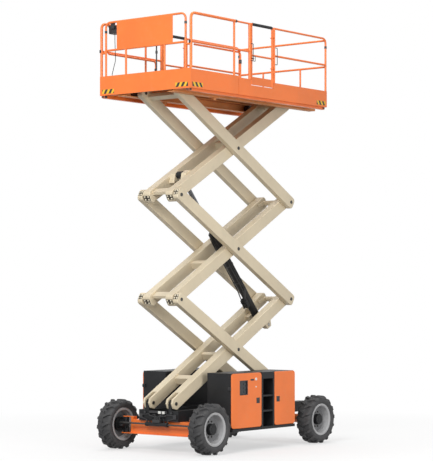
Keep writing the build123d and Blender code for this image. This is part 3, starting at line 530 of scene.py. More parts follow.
# cross tubes of the inner arms, by level: place along the arm, above its middle, length along it, depth
crossTubes = [
    [(0.760, 0.010, 0.120, 0.130), (1.600, 0.0, 0.090, 0.120)],
    [(0.070, 0.044, 0.150, 0.056), (1.260, 0.0, 0.110, 0.120)],
    [(0.070, 0.044, 0.150, 0.056), (2.050, 0.0, 0.110, 0.120)],
]
frontPivots = [jointPlace(n) for n in ("scissor_lift", "middle_front_pivot", "upper_front_pivot", "platform_pivot")]
crossings = [jointPlace(n) for n in ("lower_cross", "middle_cross", "upper_cross")]
levels = ["lower", "middle", "upper"]
armLength = 2 * (crossings[0] - frontPivots[0]).length


def armPlace(front, cross):
    # the arm's own frame: along it from its front pivot, up across its depth, then sideways
    along = (cross - front).normalized()
    across = Vector((0, 1, 0))
    return Matrix.Translation(front) @ Matrix((along, across.cross(along), across)).transposed().to_4x4()


def boxTube(shape, place, low, high, fork=False):
    # a square tube: big corners at its ends, then all the long edges rounded; a forked one starts behind its slot
    tube = newShape()
    e, depth = arm["end"], arm["slotDepth"] if fork else -arm["end"]
    size = Matrix.Diagonal((armLength + e - depth, 2 * arm["halfHeight"], high - low, 1))
    middle = Matrix.Translation(((armLength + e + depth) / 2, 0, (low + high) / 2))
    bmesh.ops.create_cube(tube, size=1, matrix=middle @ size)
    ends = [x for x in tube.edges if abs((x.verts[0].co - x.verts[1].co).z) > 0.05
            and not (fork and x.verts[0].co.x < 1)]
    roundEdges(tube, ends, arm["corner"], 3)
    rims = [x for x in tube.edges if x.calc_face_angle(0) > math.radians(60)
            and not (fork and max(v.co.x for v in x.verts) < depth + 0.01)]
    roundEdges(tube, rims, arm["edge"], 3)
    bmesh.ops.transform(tube, matrix=place, verts=tube.verts)
    addTo(shape, tube)


def plateAt(shape, place, points, low, high, edge=0.002):
    # a flat plate from its outline in the arm's own frame
    corners = [shape.verts.new(place @ Vector((a, u, low))) for a, u in points]
    grown = bmesh.ops.extrude_face_region(shape, geom=[shape.faces.new(corners)])
    moved = [g for g in grown["geom"] if isinstance(g, bmesh.types.BMVert)]
    bmesh.ops.translate(shape, verts=moved, vec=place.to_3x3() @ Vector((0, 0, high - low)))
    roundEdges(shape, edgesOf(corners + moved), edge, 1)


def forkCheeks(shape, place, low, high):
    # two cheeks run forward either side of the chassis lug
    h, e, middle = arm["halfHeight"], arm["end"], (low + high) / 2
    start = arm["slotDepth"] + 0.02
    lower = [(start, -h + 0.002), (-0.03, -h + 0.002), (-e, -h + 0.06)]
    for y0, y1 in ((low, middle - arm["slot"]), (middle + arm["slot"], high)):
        plateAt(shape, place, lower + [(a, -u) for a, u in reversed(lower)], y0 + 0.001, y1 - 0.001, 0.004)


def endPlate(plates, heads, place, side, across):
    # a bolted plate on an arm's front end, which holds the bearing
    middle, half = side * sum(across) / 2, (across[1] - across[0]) / 2
    blockAt(plates, (-0.0935, -arm["plateHalf"], middle - half + 0.008),
            (-0.086, arm["plateHalf"], middle + half - 0.008), 0.002, 1, place)
    for shift in (-half * 0.5, half * 0.5):
        for up in (-arm["boltUp"], arm["boltUp"]):
            boltAt(heads, place @ Vector((-0.093, up, middle + shift)), place.to_3x3() @ Vector((-1, 0, 0)),
                   0.0125, 0.010)


def endPlates(kind, level, place, body):
    plates, heads = newShape(), newShape()
    for side in sideSigns.values():
        endPlate(plates, heads, place, side, arm[kind])
    finishPiece(plates, f"{kind}EndPlates_{levels[level]}", body, endPaint)
    finishPiece(heads, f"{kind}EndBolts_{levels[level]}", body, headPaint)


def outerArms(level):
    place = armPlace(frontPivots[level + 1], crossings[level])
    body = f"outer_arms_{levels[level]}"
    inFace, outFace = arm["outer"]
    shape, pins, caps = newShape(), newShape(), newShape()
    for side in sideSigns.values():
        boxTube(shape, place, *handed(side, inFace, outFace))
        for along in (0, armLength / 2, armLength):
            x, z = (place @ Vector((along, 0, 0))).xz
            topFront = level == 2 and along == 0
            if level == 0 and along == armLength:
                continue
            near, far = (0.345, 0.618) if topFront else (0.181, outFace + 0.007)
            roundAt(pins, (x, side * near, z), (x, side * far, z), arm["pin"])
            if not topFront:
                near, far = outFace + 0.0066, outFace + 0.0076
                roundAt(caps, (x, side * near, z), (x, side * far, z), arm["pinCap"], 24, 0)
    if level < 2:
        endPlates("outer", level, place, body)
    else:
        blockAt(shape, (0.070, -0.035, -inFace), (0.190, 0.035, inFace), 0.006, 2, place)
    finishPiece(shape, f"outerArmTubes_{levels[level]}", body, creamPaint, [body])
    finishPiece(pins, f"outerArmPins_{levels[level]}", body, darkSteel)
    finishPiece(caps, f"outerArmBolts_{levels[level]}", body, darkSteel)


def innerArms(level):
    place = armPlace(frontPivots[level], crossings[level])
    body = f"inner_arms_{levels[level]}"
    inFace = arm["inner"][0]
    shape = newShape()
    for side in sideSigns.values():
        low, high = handed(side, *arm["inner"])
        boxTube(shape, place, low, high, fork=level == 0)
        if level == 0:
            forkCheeks(shape, place, low, high)
    for along, above, length, height in crossTubes[level]:
        blockAt(shape, (along - length / 2, above - height / 2, -inFace),
                (along + length / 2, above + height / 2, inFace), 0.006, 2, place)
    rear = place @ Vector((armLength, 0, 0))
    roundAt(shape, (rear.x, -inFace, rear.z), (rear.x, inFace, rear.z), arm["crossTube"], 40)
    # gusset plates that brace the rear cross tube
    far, near = armLength - 0.24, armLength - 0.02
    for side in sideSigns.values():
        y = side * (inFace - arm["gussetIn"])
        plateAt(shape, place, [(far, 0.09), (near, 0.05), (near, -0.03), (far, 0.05)], y - 0.006, y + 0.006)
    if level == 0:
        brackets(shape, place, jointPlace("barrel_pivot"), 0.083, -1)
    else:
        endPlates("inner", level, place, body)
    if level == 2:
        brackets(shape, place, rodTip(), 0.072, 1)
    finishPiece(shape, f"innerArmTubes_{levels[level]}", body, creamPaint, [body])


def brackets(shape, place, centre, gap, up):
    # thick plates that hold one of the cylinder's pins
    local = place.inverted() @ centre
    foot, top = arm["bracketFoot"], arm["bracketTop"]
    outline = [(local.x - foot, 0), (local.x + foot, 0), (local.x + top, local.y + up * top),
               (local.x - top, local.y + up * top)]
    for side in sideSigns.values():
        plateAt(shape, place, outline, *handed(side, gap, arm["inner"][0] + 0.002), 0.004)


# lift cylinder: barrel with gland and clevis, bright rod, valve block and its pipes
ram = dict(barrel=0.073, length=2.235, bore=0.041, boreStart=0.112, gland=0.0795, rod=0.040, rodLength=2.478,
           head=0.0645, headHalf=0.065, pin=0.0315, pinReach=0.189, tip=(0.661, 0.072), valve=0.620,
           hose=0.0105, clamps=(0.45, 0.85, 1.25))


def rodTip():
    return armPlace(frontPivots[2], crossings[2]) @ Vector((*ram["tip"], 0))


for level in range(3):
    outerArms(level)
    innerArms(level)
print("arms made")


def liftCylinder():
    base, tip = jointPlace("barrel_pivot"), rodTip()
    axis, across = Vector(joints["rod_slide"]["axis"]).normalized(), Vector((0, 1, 0))
    full = (tip - base).length
    r, length, gland, bore, start = ram["barrel"], ram["length"], ram["gland"], ram["bore"], ram["boreStart"]
    barrel = newShape()
    clevis = [(-0.02, 0), (-0.02, r - 0.012), (0.0, r - 0.001), (0.11, r - 0.001), (0.115, r - 0.008),
              (0.135, r - 0.008), (0.14, r - 0.001)]
    nose = [(length - 0.090, r - 0.001), (length - 0.088, gland - 0.003), (length - 0.084, gland),
            (length - 0.020, gland), (length - 0.015, gland - 0.004), (length - 0.0145, r - 0.004),
            (length, r - 0.010), (length, bore + 0.003)]
    inside = [(length - 0.03, bore), (start, bore), (start, 0)]
    turnedAt(barrel, clevis + nose + inside, base, axis, 64)
    roundAt(barrel, base - across * 0.060, base + across * 0.060, 0.066, 40, 0.004)
    finishPiece(barrel, "liftBarrel", "cylinder_barrel", blackPaint, ["cylinder_barrel"])
    pin = newShape()
    roundAt(pin, base - across * ram["pinReach"], base + across * ram["pinReach"], ram["pin"])
    finishPiece(pin, "liftBarrelPin", "cylinder_barrel", boltSteel)

    rod, foot = newShape(), full - ram["rodLength"]
    turnedAt(rod, [(foot, 0), (foot, ram["rod"] - 0.002), (full - 0.07, ram["rod"] - 0.001),
                   (full - 0.04, ram["rod"] - 0.001), (full - 0.04, 0)], base, axis, 48)
    # the rod's dark chrome colour is a painted reflection
    finishPiece(rod, "liftRod", "cylinder_rod", darkenedChromeRod, ["cylinder_rod"])
    head = newShape()
    roundAt(head, tip - across * ram["headHalf"], tip + across * ram["headHalf"], ram["head"], 48, 0.004)
    roundAt(head, tip - axis * 0.13, tip - axis * 0.055, 0.052, 40, 0.004)
    finishPiece(head, "liftRodHead", "cylinder_rod", blackPaint)

    # the valve block hangs on the barrel's lower side, in its own frame
    turn = Matrix((axis, -across, across.cross(axis))).transposed().to_4x4()
    turn = Matrix.Translation(base + axis * ram["valve"]) @ turn
    valve = newShape()
    blockAt(valve, (-0.0895, -0.0545, 0.060), (0.0895, 0.0545, 0.1425), 0.005, 2, turn)
    blockAt(valve, (-0.05, -0.035, 0.142), (0.03, 0.035, 0.162), 0.004, 2, turn)
    for along in (-0.06, 0.06):
        roundAt(valve, turn @ Vector((along, 0.02, 0.142)), turn @ Vector((along, 0.02, 0.172)), 0.016, 24)
    finishPiece(valve, "liftValveBlock", "cylinder_barrel", blackPaint)
    hoses = newShape()
    for beside, lift in ((-0.062, 0.055), (-0.086, 0.035), (-0.095, 0.005), (0.070, 0.05)):
        route = [(-0.05, beside * 0.4, 0.11), (0.12, beside * 0.7, 0.10), (0.30, beside, lift),
                 (1.30, beside, lift), (1.52, beside * 0.75, lift * 0.6 + 0.03)]
        pipeRun(hoses, [turn @ Vector(point) for point in route], ram["hose"], 0.06, 12)
    for along in ram["clamps"]:
        band = [(-0.014, r - 0.0005), (-0.014, r + 0.006), (0.014, r + 0.006), (0.014, r - 0.0005),
                (-0.014, r - 0.0005)]
        turnedAt(hoses, band, base + axis * (ram["valve"] + along), axis, 40)
    finishPiece(hoses, "liftHoses", "cylinder_barrel", hoseRubber)


liftCylinder()
print("lift cylinder made")


# rollers at the two sliding ends
roller = dict(shaft=0.0315, lowFaces=(0.268, 0.350), lowShaft=0.468, topFaces=(0.500, 0.619), topInner=0.341,
              top=0.059)


def rollers():
    rear = armPlace(frontPivots[1], crossings[0]) @ Vector((armLength, 0, 0))
    low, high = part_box("lower_rollers")
    radius = (high.z - low.z) / 2
    shape, shaft = newShape(), newShape()
    for side in sideSigns.values():
        y0, y1 = handed(side, *roller["lowFaces"])
        rim = [(0, 0), (0, radius - 0.03), (0.004, radius - 0.026), (0.004, radius - 0.012), (0.012, radius - 0.001)]
        profile = [(y0 + a, r) for a, r in rim] + [(y1 - a, r) for a, r in reversed(rim)]
        turnedAt(shape, profile, (rear.x, 0, rear.z), (0, 1, 0), 56)
    roundAt(shaft, (rear.x, -roller["lowShaft"], rear.z), (rear.x, roller["lowShaft"], rear.z), roller["shaft"])
    finishPiece(shape, "chassisRollers", "outer_arms_lower", darkSteel, ["lower_rollers"])
    finishPiece(shaft, "chassisRollerShaft", "outer_arms_lower", boltSteel)
    top = armPlace(frontPivots[2], crossings[2]) @ Vector((armLength, 0, 0))
    shape, (y0, y1) = newShape(), roller["topFaces"]
    for side in sideSigns.values():
        roundAt(shape, (top.x, side * roller["topInner"], top.z), (top.x, side * y0, top.z), roller["shaft"])
        roundAt(shape, (top.x, side * y0, top.z), (top.x, side * y1, top.z), roller["top"], 48, 0.006)
    finishPiece(shape, "trackRollers", "inner_arms_upper", mouldedPlastic, ["upper_rollers"])


rollers()
print("rollers made")


# chassis, axles and steering
axle = dict(pad=(0.275, 0.430), padHalf=0.09, padFoot=0.45, bolts=12, boltCircle=0.096, boltSide=0.857)
steering = dict(line=0.037, port=0.16, rod=0.0165, bush=0.0168, bushLength=0.052, hose=0.0095,
                unions=(-0.06, -0.02, 0.02, 0.06))


def undercarriage():
    finishPiece(softCopy("chassis_frame", 0.004), "chassisRails", "chassis", blackPaint, ["chassis_frame"])
    pins, front = newShape(), frontPivots[0]
    for side in sideSigns.values():
        roundAt(pins, (front.x, side * 0.170, front.z), (front.x, side * 0.348, front.z), 0.0325)
    finishPiece(pins, "chassisPins", "chassis", darkSteel)
    finishPiece(softCopy("front_axle", 0.004), "frontAxleBeam", "chassis", orangePaint, ["front_axle"])
    for hand in sideSigns:
        knuckle = f"knuckle_{hand}"
        finishPiece(softCopy(knuckle, 0.006), f"steerKnuckle_{hand}", knuckle, blackPaint, [knuckle])


def rearAxle():
    low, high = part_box("rear_axle")
    x, z, reach = ((low + high) / 2).x, jointPlace("wheel_rear_left_spin").z, high.y - 0.0005
    housing, bolts, p = newShape(), newShape(), axle["padHalf"]
    half = [(-reach, 0), (-reach, 0.083), (-0.859, 0.083), (-0.857, 0.104), (-0.850, 0.108), (-0.712, 0.108),
            (-0.702, 0.102), (-0.700, 0.080), (-0.30, 0.080), (-0.20, 0.092), (-0.13, 0.128), (-0.075, 0.146)]
    turnedAt(housing, mirrored(half, [(0, 0.1475)]), (x, 0, z), (0, 1, 0), 56)
    for side in sideSigns.values():
        near, far = axle["pad"]
        blockAt(housing, (x - p, side * near, axle["padFoot"]), (x + p, side * far, high.z - 0.0003), 0.006)
        for index in range(axle["bolts"]):
            angle = 2 * math.pi * index / axle["bolts"]
            beside, above = axle["boltCircle"] * math.cos(angle), axle["boltCircle"] * math.sin(angle)
            boltAt(bolts, (x + beside, side * axle["boltSide"], z + above), (0, side, 0), 0.007, 0.006)
    finishPiece(housing, "rearAxleHousing", "chassis", orangePaint, ["rear_axle"])
    finishPiece(bolts, "axleBolts", "chassis", darkSteel)


def steeringGear():
    low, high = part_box("steer_cylinder")
    x, z = high.x - steering["line"], (high.z + low.z) / 2
    cylinder, rod = newShape(), newShape()
    half = [(-0.249, 0), (-0.249, 0.036), (-0.245, 0.0395), (-0.205, 0.0395), (-0.200, 0.034)]
    turnedAt(cylinder, mirrored(half), (x, 0, z), (0, 1, 0), 40)
    blockAt(cylinder, (low.x, -0.06, z - 0.03), (x, 0.06, z + 0.03), 0.004)
    low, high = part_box("tie_rod")
    roundAt(rod, (x, low.y, z), (x, high.y, z), steering["rod"])
    for side in sideSigns.values():
        y = side * steering["port"]
        roundAt(cylinder, (x, y, z + 0.03), (x, y, z + 0.055), 0.013, 20)
        pipeRun(cylinder, [(x, y, z + 0.05), (x, y, z + 0.085), (x - 0.03, side * 0.11, z + 0.12),
                           (x - 0.10, side * 0.08, z + 0.13)], 0.008, 0.02, 12)
        y0, y1 = side * (high.y - steering["bushLength"]), side * (high.y - 0.001)
        roundAt(rod, (x, y0, z), (x, y1, z), steering["bush"])
    finishPiece(cylinder, "steeringCylinder", "chassis", blackPaint, ["steer_cylinder"])
    finishPiece(rod, "steeringTieRod", "tie_rod", darkSteel, ["tie_rod"])


def steeringLines():
    # hoses, ports and clips on the front beam and over the steering cylinder
    low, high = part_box("tie_rod")
    x, z, face = (low.x + high.x) / 2, (low.z + high.z) / 2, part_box("chassis_frame")[1].x
    shape, plates, hose = newShape(), newShape(), steering["hose"]
    blockAt(shape, (x - 0.045, -0.085, z + 0.030), (x + 0.035, 0.085, z + 0.085), 0.006)
    for y in steering["unions"]:
        roundAt(shape, (x - 0.005, y, z + 0.08), (x - 0.005, y, z + 0.105), 0.013, 6, 0.002)
        reach = 3.2 * y
        pipeRun(shape, [(x - 0.005, y, z + 0.09), (x - 0.005, y, z + 0.135), (x - 0.02, reach, z + 0.150),
                        (face + 0.014, reach, z + 0.175), (face + 0.014, 1.9 * reach, z + 0.160)], hose, 0.022, 12)
    for side in sideSigns.values():
        y = side * 0.385
        pipeRun(shape, [(x - 0.01, side * 0.235, z + 0.035), (x - 0.01, side * 0.235, z + 0.075),
                        (face + 0.014, side * 0.33, z + 0.095), (face + 0.014, side * 0.40, z + 0.130)],
                hose, 0.025, 12)
        blockAt(shape, (face - 0.001, y - 0.035, z + 0.100), (face + 0.028, y + 0.035, z + 0.175), 0.005)
        roundAt(shape, (face, side * 0.300, z + 0.205), (face + 0.022, side * 0.300, z + 0.205), 0.022, 28, 0.004)
    blockAt(shape, (face - 0.001, -0.20, z + 0.195), (face + 0.020, 0.20, z + 0.235), 0.005)
    for y0, y1 in ((0.010, 0.070), (0.095, 0.155)):
        blockAt(plates, (face + 0.018, y0, z + 0.185), (face + 0.024, y1, z + 0.232), 0.002)
    finishPiece(shape, "frontHydraulics", "chassis", hoseRubber)
    finishPiece(plates, "frontBlankPlates", "chassis", paleLens)


undercarriage()
rearAxle()
steeringGear()
steeringLines()
print("undercarriage made")


# service boxes with rounded doors, latches, a window and lamps
cabinet = dict(doorCorner=0.055, doorEdge=0.007, latchHalf=0.050, latchX=(0.222, -0.375), latchZ=0.875,
               window=(0.520, 0.750, 0.985, 1.240), switchRows=3, lampX=0.2865, cornerLatchY=0.985)


def doorPanel(name, node):
    # the outline's corners are rounded first, then every hard edge
    shape = nodeShape(node)
    low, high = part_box(node)
    outer = []
    for e in shape.edges:
        a, b = e.verts[0].co, e.verts[1].co
        runsIn = abs(a.x - b.x) < 1e-4 and abs(a.z - b.z) < 1e-4
        atX = min(abs(a.x - low.x), abs(a.x - high.x)) < 1e-3
        atZ = min(abs(a.z - low.z), abs(a.z - high.z)) < 1e-3
        if runsIn and atX and atZ:
            outer.append(e)
    roundEdges(shape, outer, cabinet["doorCorner"], 6)
    roundEdges(shape, sharpEdges(shape, 40), cabinet["doorEdge"], 3, clamp=True)
    finishPiece(shape, name, node, orangePaint, [node])


def openFrame(shape, faced, outline, rail, stile, into, edge):
    # four bars round an opening in a door
    x0, x1, z0, z1 = outline
    for bar in ((x0, x1, z0, z0 + rail), (x0, x1, z1 - rail, z1), (x0, x0 + stile, z0, z1), (x1 - stile, x1, z0, z1)):
        blockAt(shape, *faced(*bar, into, 0.0), edge)


def latchParts(shape, faced, x):
    # square frame, recessed floor and a paddle
    h, z = cabinet["latchHalf"], cabinet["latchZ"]
    openFrame(shape, faced, (x - h, x + h, z - h, z + h), 0.012, 0.014, 0.004, 0.0015)
    blockAt(shape, *faced(x - h + 0.012, x + h - 0.012, z - h + 0.010, z + h - 0.010, 0.004, -0.0015), 0.001)
    blockAt(shape, *faced(x - 0.030, x + 0.050, z - 0.018, z + 0.018, 0.004, 0.0), 0.003)


def serviceBox(hand):
    side, body = sideSigns[hand], f"front_door_{hand}"
    finishPiece(softCopy(f"side_box_{hand}", 0.005), f"serviceBox_{hand}", "chassis", blackPaint, [f"side_box_{hand}"])
    doorPanel(f"frontDoorPanel_{hand}", body)
    doorPanel(f"rearDoorPanel_{hand}", f"rear_door_{hand}")
    low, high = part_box(body)
    face = high.y if side > 0 else low.y

    def faced(x0, x1, z0, z1, into, out):
        return (x0, face - side * into, z0), (x1, face + side * out, z1)

    glass, trim, lamp, corner, rear = (newShape() for _ in range(5))
    x0, x1, z0, z1 = cabinet["window"]
    blockAt(glass, *faced(x0 + 0.002, x1 - 0.002, z0 + 0.002, z1 - 0.002, 0.030, -0.022), 0.002)
    openFrame(trim, faced, cabinet["window"], 0.014, 0.014, 0.028, 0.003)
    for row in range(cabinet["switchRows"]):
        blockAt(trim, *faced(x0 + 0.03, x0 + 0.10, 1.02 + 0.07 * row, 1.06 + 0.07 * row, 0.024, -0.016), 0.003)
    latchParts(trim, faced, cabinet["latchX"][0])
    latchParts(rear, faced, cabinet["latchX"][1])
    for z, radius, sides, edge, into, out in ((1.256, 0.026, 28, 0.004, 0.002, 0.010),
                                              (1.120, 0.014, 24, 0.002, 0.001, 0.005)):
        x = cabinet["lampX"]
        roundAt(lamp, (x, face - side * into, z), (x, face + side * out, z), radius, sides, edge)
    blockAt(trim, *faced(0.345, 0.440, 1.232, 1.262, 0.003, 0.006), 0.003)
    finishPiece(glass, f"panelWindow_{hand}", body, windowGlass)
    finishPiece(trim, f"frontDoorTrim_{hand}", body, mouldedPlastic)
    finishPiece(lamp, f"frontDoorLamps_{hand}", body, paleLens)
    x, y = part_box(f"side_box_{hand}")[1].x, side * cabinet["cornerLatchY"]
    blockAt(corner, (x - 0.002, y - 0.030, 1.075), (x + 0.022, y + 0.030, 1.135), 0.004)
    blockAt(corner, (x + 0.020, y - 0.012, 1.085), (x + 0.048, y + 0.012, 1.125), 0.005)
    finishPiece(corner, f"boxCornerLatch_{hand}", "chassis", mouldedPlastic)
    finishPiece(rear, f"rearDoorTrim_{hand}", f"rear_door_{hand}", mouldedPlastic)


for hand in sideSigns:
    serviceBox(hand)
finishPiece(softCopy("engine_block", 0.01), "engineBlock", "chassis", blackPaint, ["engine_block"])
print("service boxes made")


# platform: frame, toe boards, decks
boardLow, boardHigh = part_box("toe_boards")
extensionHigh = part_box("extension_deck")[1]
extensionStart = boardHigh.x + 0.006
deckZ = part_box("deck_plate")[1].z
deck = dict(treadThick=0.0012, treadSplit=(0.604, 0.609), boss=(0.880, 0.570), slide=(0.0865, 0.0617),
            slideSides=(0.4678, 0.625), stripeThick=0.0012, stripe=(0.030, 0.105), stripeLength=0.28)


def platformBody():
    finishPiece(softCopy("platform_frame", 0.002, 1), "platformFrame", "platform", orangePaint, ["platform_frame"])
    finishPiece(softCopy("toe_boards", 0.004), "toeBoards", "platform", orangePaint, ["toe_boards"])
    panels = softCopy("extension_deck", 0.004)
    face = [v for v in panels.verts if v.co.x > extensionHigh.x - 0.0005]
    bmesh.ops.translate(panels, verts=face, vec=(-0.0012, 0, 0))
    finishPiece(panels, "extensionPanels", "extension", orangePaint, ["extension_deck"])
    # the deck plate and the roller tracks take the browner under-deck copy of the orange, which is painted shade
    plate = finishPiece(softCopy("deck_plate", 0.0015, 1), "deckPlate", "platform", underShadePaint, ["deck_plate"])
    # the plate's upward faces take the tread, which shows when the extension is out
    plate.data.materials.append(deckSheet)
    for face in plate.data.polygons:
        face.material_index = int(face.normal.z > 0.9)
    for hand in sideSigns:
        track = f"roller_track_{hand}"
        finishPiece(softCopy(track), f"rollerTrack_{hand}", "platform", underShadePaint, [track])


def deckTreads():
    thick, (gapStart, gapEnd) = deck["treadThick"], deck["treadSplit"]
    tread, ahead = newShape(), newShape()
    for x0, x1 in ((boardLow.x + 0.031, gapStart), (gapEnd, extensionStart - 0.008)):
        blockAt(tread, (x0, boardLow.y + 0.045, deckZ), (x1, boardHigh.y - 0.045, deckZ + thick), 0)
    finishPiece(tread, "deckTread", "platform", deckSheet)
    blockAt(ahead, (extensionStart + 0.004, boardLow.y + 0.034, deckZ + 0.0122),
            (extensionHigh.x - 0.034, boardHigh.y - 0.034, deckZ + 0.0122 + thick), 0)
    finishPiece(ahead, "extensionTread", "extension", deckSheet)


def underDeck():
    bosses, slides, bumpers = newShape(), newShape(), newShape()
    low, front, (x, y), (w, h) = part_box("roller_track_left")[0].z, frontPivots[3], deck["boss"], deck["slide"]
    for side in sideSigns.values():
        blockAt(bosses, (x - 0.060, side * y - 0.060, low - 0.010), (x + 0.060, side * y + 0.060, low + 0.001))
        roundAt(bosses, (x, side * y, low - 0.044), (x, side * y, low), 0.040, 32, 0.004)
        near, far = (side * reach for reach in deck["slideSides"])
        blockAt(slides, (front.x - w, near, front.z - h), (front.x + w, far, front.z + h), 0.004)
        blockAt(slides, (boardLow.x + 0.02, side * (boardHigh.y - 0.10), boardLow.z - 0.040),
                (boardLow.x + 0.10, side * (boardHigh.y - 0.035), boardLow.z + 0.002), 0.008)
        blockAt(bumpers, (extensionHigh.x - 0.080, side * (boardHigh.y - 0.112), boardLow.z - 0.041),
                (extensionHigh.x - 0.004, side * (boardHigh.y - 0.034), boardLow.z + 0.001), 0.010, 3)
    # the bosses under the deck take the same browner copy of the orange: painted shade
    finishPiece(bosses, "underDeckBosses", "platform", underShadePaint)
    finishPiece(slides, "platformSlides", "platform", mouldedPlastic)
    finishPiece(bumpers, "cornerBumpers", "extension", mouldedPlastic)


def stripePatches():
    rear, front = newShape(), newShape()
    z0, z1 = (boardLow.z + rise for rise in deck["stripe"])
    for side in sideSigns.values():
        y0, y1 = side * boardHigh.y, side * (boardHigh.y + deck["stripeThick"])
        for shape, x in ((rear, boardLow.x + 0.05), (front, extensionHigh.x - 0.33)):
            blockAt(shape, (x, y0, z0), (x + deck["stripeLength"], y1, z1), 0)
        blockAt(front, (extensionHigh.x - 0.0013, side * 0.70, z0), (extensionHigh.x - 0.0002, side * 0.98, z1), 0)
    finishPiece(rear, "rearStripes", "platform", stripes)
    finishPiece(front, "frontStripes", "extension", stripes)


platformBody()
deckTreads()
underDeck()
stripePatches()
print("platform made")


# guard rails, gates and grab handles
rails = dict(top=deckZ + 1.081, mid=deckZ + 0.590, y=boardHigh.y - 0.015, inset=0.042, radius=0.019, thin=0.017,
             sleeve=0.025, post=0.026, bend=0.095, grip=0.0265, rearPost=-0.276, frontPost=0.436, stay=0.650,
             gate=(-0.225, 0.385), hoop=0.908)
topZ, midZ, tube = rails["top"], rails["mid"], rails["radius"]


def entryHandle(shape, postX, side):
    # a bent grab handle beside a gate post
    y, edge, high, low = side * rails["y"], side * (rails["y"] + 0.034), midZ + 0.14, midZ - 0.16
    x, start = postX - 0.060, postX - 0.004
    pipeRun(shape, [(start, y, high), (start, edge, high), (x, edge, high), (x, edge, low), (start, edge, low),
                    (start, y, low)], 0.0065, 0.012, 12)


def cornerBand(shape, x, y):
    # a moulded band round an upright, below its top bend
    roundAt(shape, (x, y, topZ - 0.185), (x, y, topZ - 0.140), tube + 0.004, 28, 0.003)


def rearRails():
    shape, loops = newShape(), newShape()
    rearX, postX, foot = boardLow.x + 0.025, rails["rearPost"], boardHigh.z
    for side in sideSigns.values():
        y = side * rails["y"]
        pipeRun(shape, [(rearX, y, foot), (rearX, y, topZ), (postX, y, topZ)], tube, rails["bend"])
        roundAt(shape, (postX, y, foot), (postX, y, topZ + 0.012), rails["post"], 28)
        roundAt(shape, (rearX, y, midZ), (postX, y, midZ), tube, 24, 0)
        for hinge in (midZ - 0.240, topZ - 0.180):
            blockAt(shape, (postX, y - 0.026, hinge - 0.008), (postX + 0.079, y + 0.026, hinge + 0.008), 0.004)
        entryHandle(loops, postX, side)
        cornerBand(loops, rearX, y)
    for height in (topZ - 0.032, midZ - 0.034):
        roundAt(shape, (rearX, -rails["y"], height), (rearX, rails["y"], height), tube, 24, 0)
    for y in (-0.438, 0.438):
        roundAt(shape, (rearX, y, foot), (rearX, y, midZ - 0.034), rails["thin"], 24, 0)
    finishPiece(shape, "rearGuardRails", "platform", orangePaint, ["rear_rails"])
    finishPiece(loops, "rearEntryHandles", "platform", mouldedPlastic)


def frontRails(hand, side):
    shape, clamps = newShape(), newShape()
    y, inset, lower = side * rails["y"], side * (rails["y"] - rails["inset"]), midZ - 0.034
    postX, frontX, stayX = rails["frontPost"], extensionHigh.x - 0.17, rails["stay"]
    roundAt(shape, (postX, y, boardHigh.z), (postX, y, topZ + 0.012), rails["post"], 28)
    roundAt(shape, (postX, y, topZ), (frontX, y, topZ), rails["thin"], 24)
    roundAt(shape, (postX, y, midZ), (extensionStart - 0.006, y, midZ), tube, 24)
    pipeRun(shape, [(frontX, inset, lower), (stayX, inset, lower), (stayX, inset, deckZ)], rails["thin"], 0.06, 24)
    blockAt(shape, (stayX + 0.046, y, lower - 0.008), (stayX + 0.074, inset, midZ + 0.008))
    roundAt(clamps, (stayX, inset, lower - 0.200), (stayX, inset, lower - 0.130), 0.024, 24, 0.003)
    entryHandle(clamps, postX, side)
    finishPiece(shape, f"frontGuardRails_{hand}", "platform", orangePaint, [f"front_rails_{hand}"])
    finishPiece(clamps, f"entryHandles_{hand}", "platform", mouldedPlastic)


def extensionRails():
    shape, dark, sheet = newShape(), newShape(), newShape()
    x0, x1 = extensionStart, extensionHigh.x
    socket, foot = boardHigh.z + 0.025, boardHigh.z + 0.037
    cornerX, faceX, hoopY = x1 - 0.030, x1 - 0.024, rails["hoop"]
    for side in sideSigns.values():
        y = side * rails["y"]
        pipeRun(shape, [(x0 + 0.09, y, topZ), (cornerX, y, topZ), (cornerX, y, foot)], rails["sleeve"],
                rails["bend"], 24)
        roundAt(shape, (x0 + 0.114, y, socket), (x0 + 0.114, y, topZ), tube, 24, 0)
        roundAt(shape, (x0, y, midZ), (cornerX, y, midZ), tube, 24)
        roundAt(shape, (cornerX, y, midZ - 0.040), (faceX, side * hoopY, midZ - 0.040), tube, 24, 0)
        roundAt(dark, (x0 + 0.050, y, topZ), (x0 + 0.089, y, topZ), 0.0262, 32, 0.003)
        blockAt(dark, (cornerX - 0.030, y - 0.028, midZ - 0.030), (cornerX + 0.030, y + 0.012, midZ + 0.026), 0.006)
        cornerBand(dark, faceX, side * hoopY)
    pipeRun(shape, [(faceX, -hoopY, foot), (faceX, -hoopY, topZ), (faceX, hoopY, topZ), (faceX, hoopY, foot)], tube,
            rails["bend"], 24)
    roundAt(shape, (faceX, -hoopY, midZ), (faceX, hoopY, midZ), tube, 24, 0)
    for y in (-0.44, 0.44):
        roundAt(shape, (faceX, y, foot), (faceX, y, midZ), tube, 24, 0)
    x, y = faceX - 0.045, 0.22
    roundAt(dark, (x, y, foot), (x, y, midZ - 0.01), 0.012, 24)
    roundAt(dark, (x, y, midZ - 0.14), (x, y, midZ - 0.09), 0.020, 24, 0.003)
    finishPiece(shape, "extensionGuardRails", "extension", orangePaint, ["extension_rails"])
    finishPiece(dark, "extensionFittings", "extension", mouldedPlastic)
    blockAt(sheet, (x1 - 0.008, -0.638, midZ - 0.006), (x1 - 0.004, 0.638, topZ), 0)
    roundEdges(sheet, [e for e in sheet.edges if abs((e.verts[0].co - e.verts[1].co).x) > 0.003], 0.030, 5)
    finishPiece(sheet, "frontSheet", "extension", orangePaint)


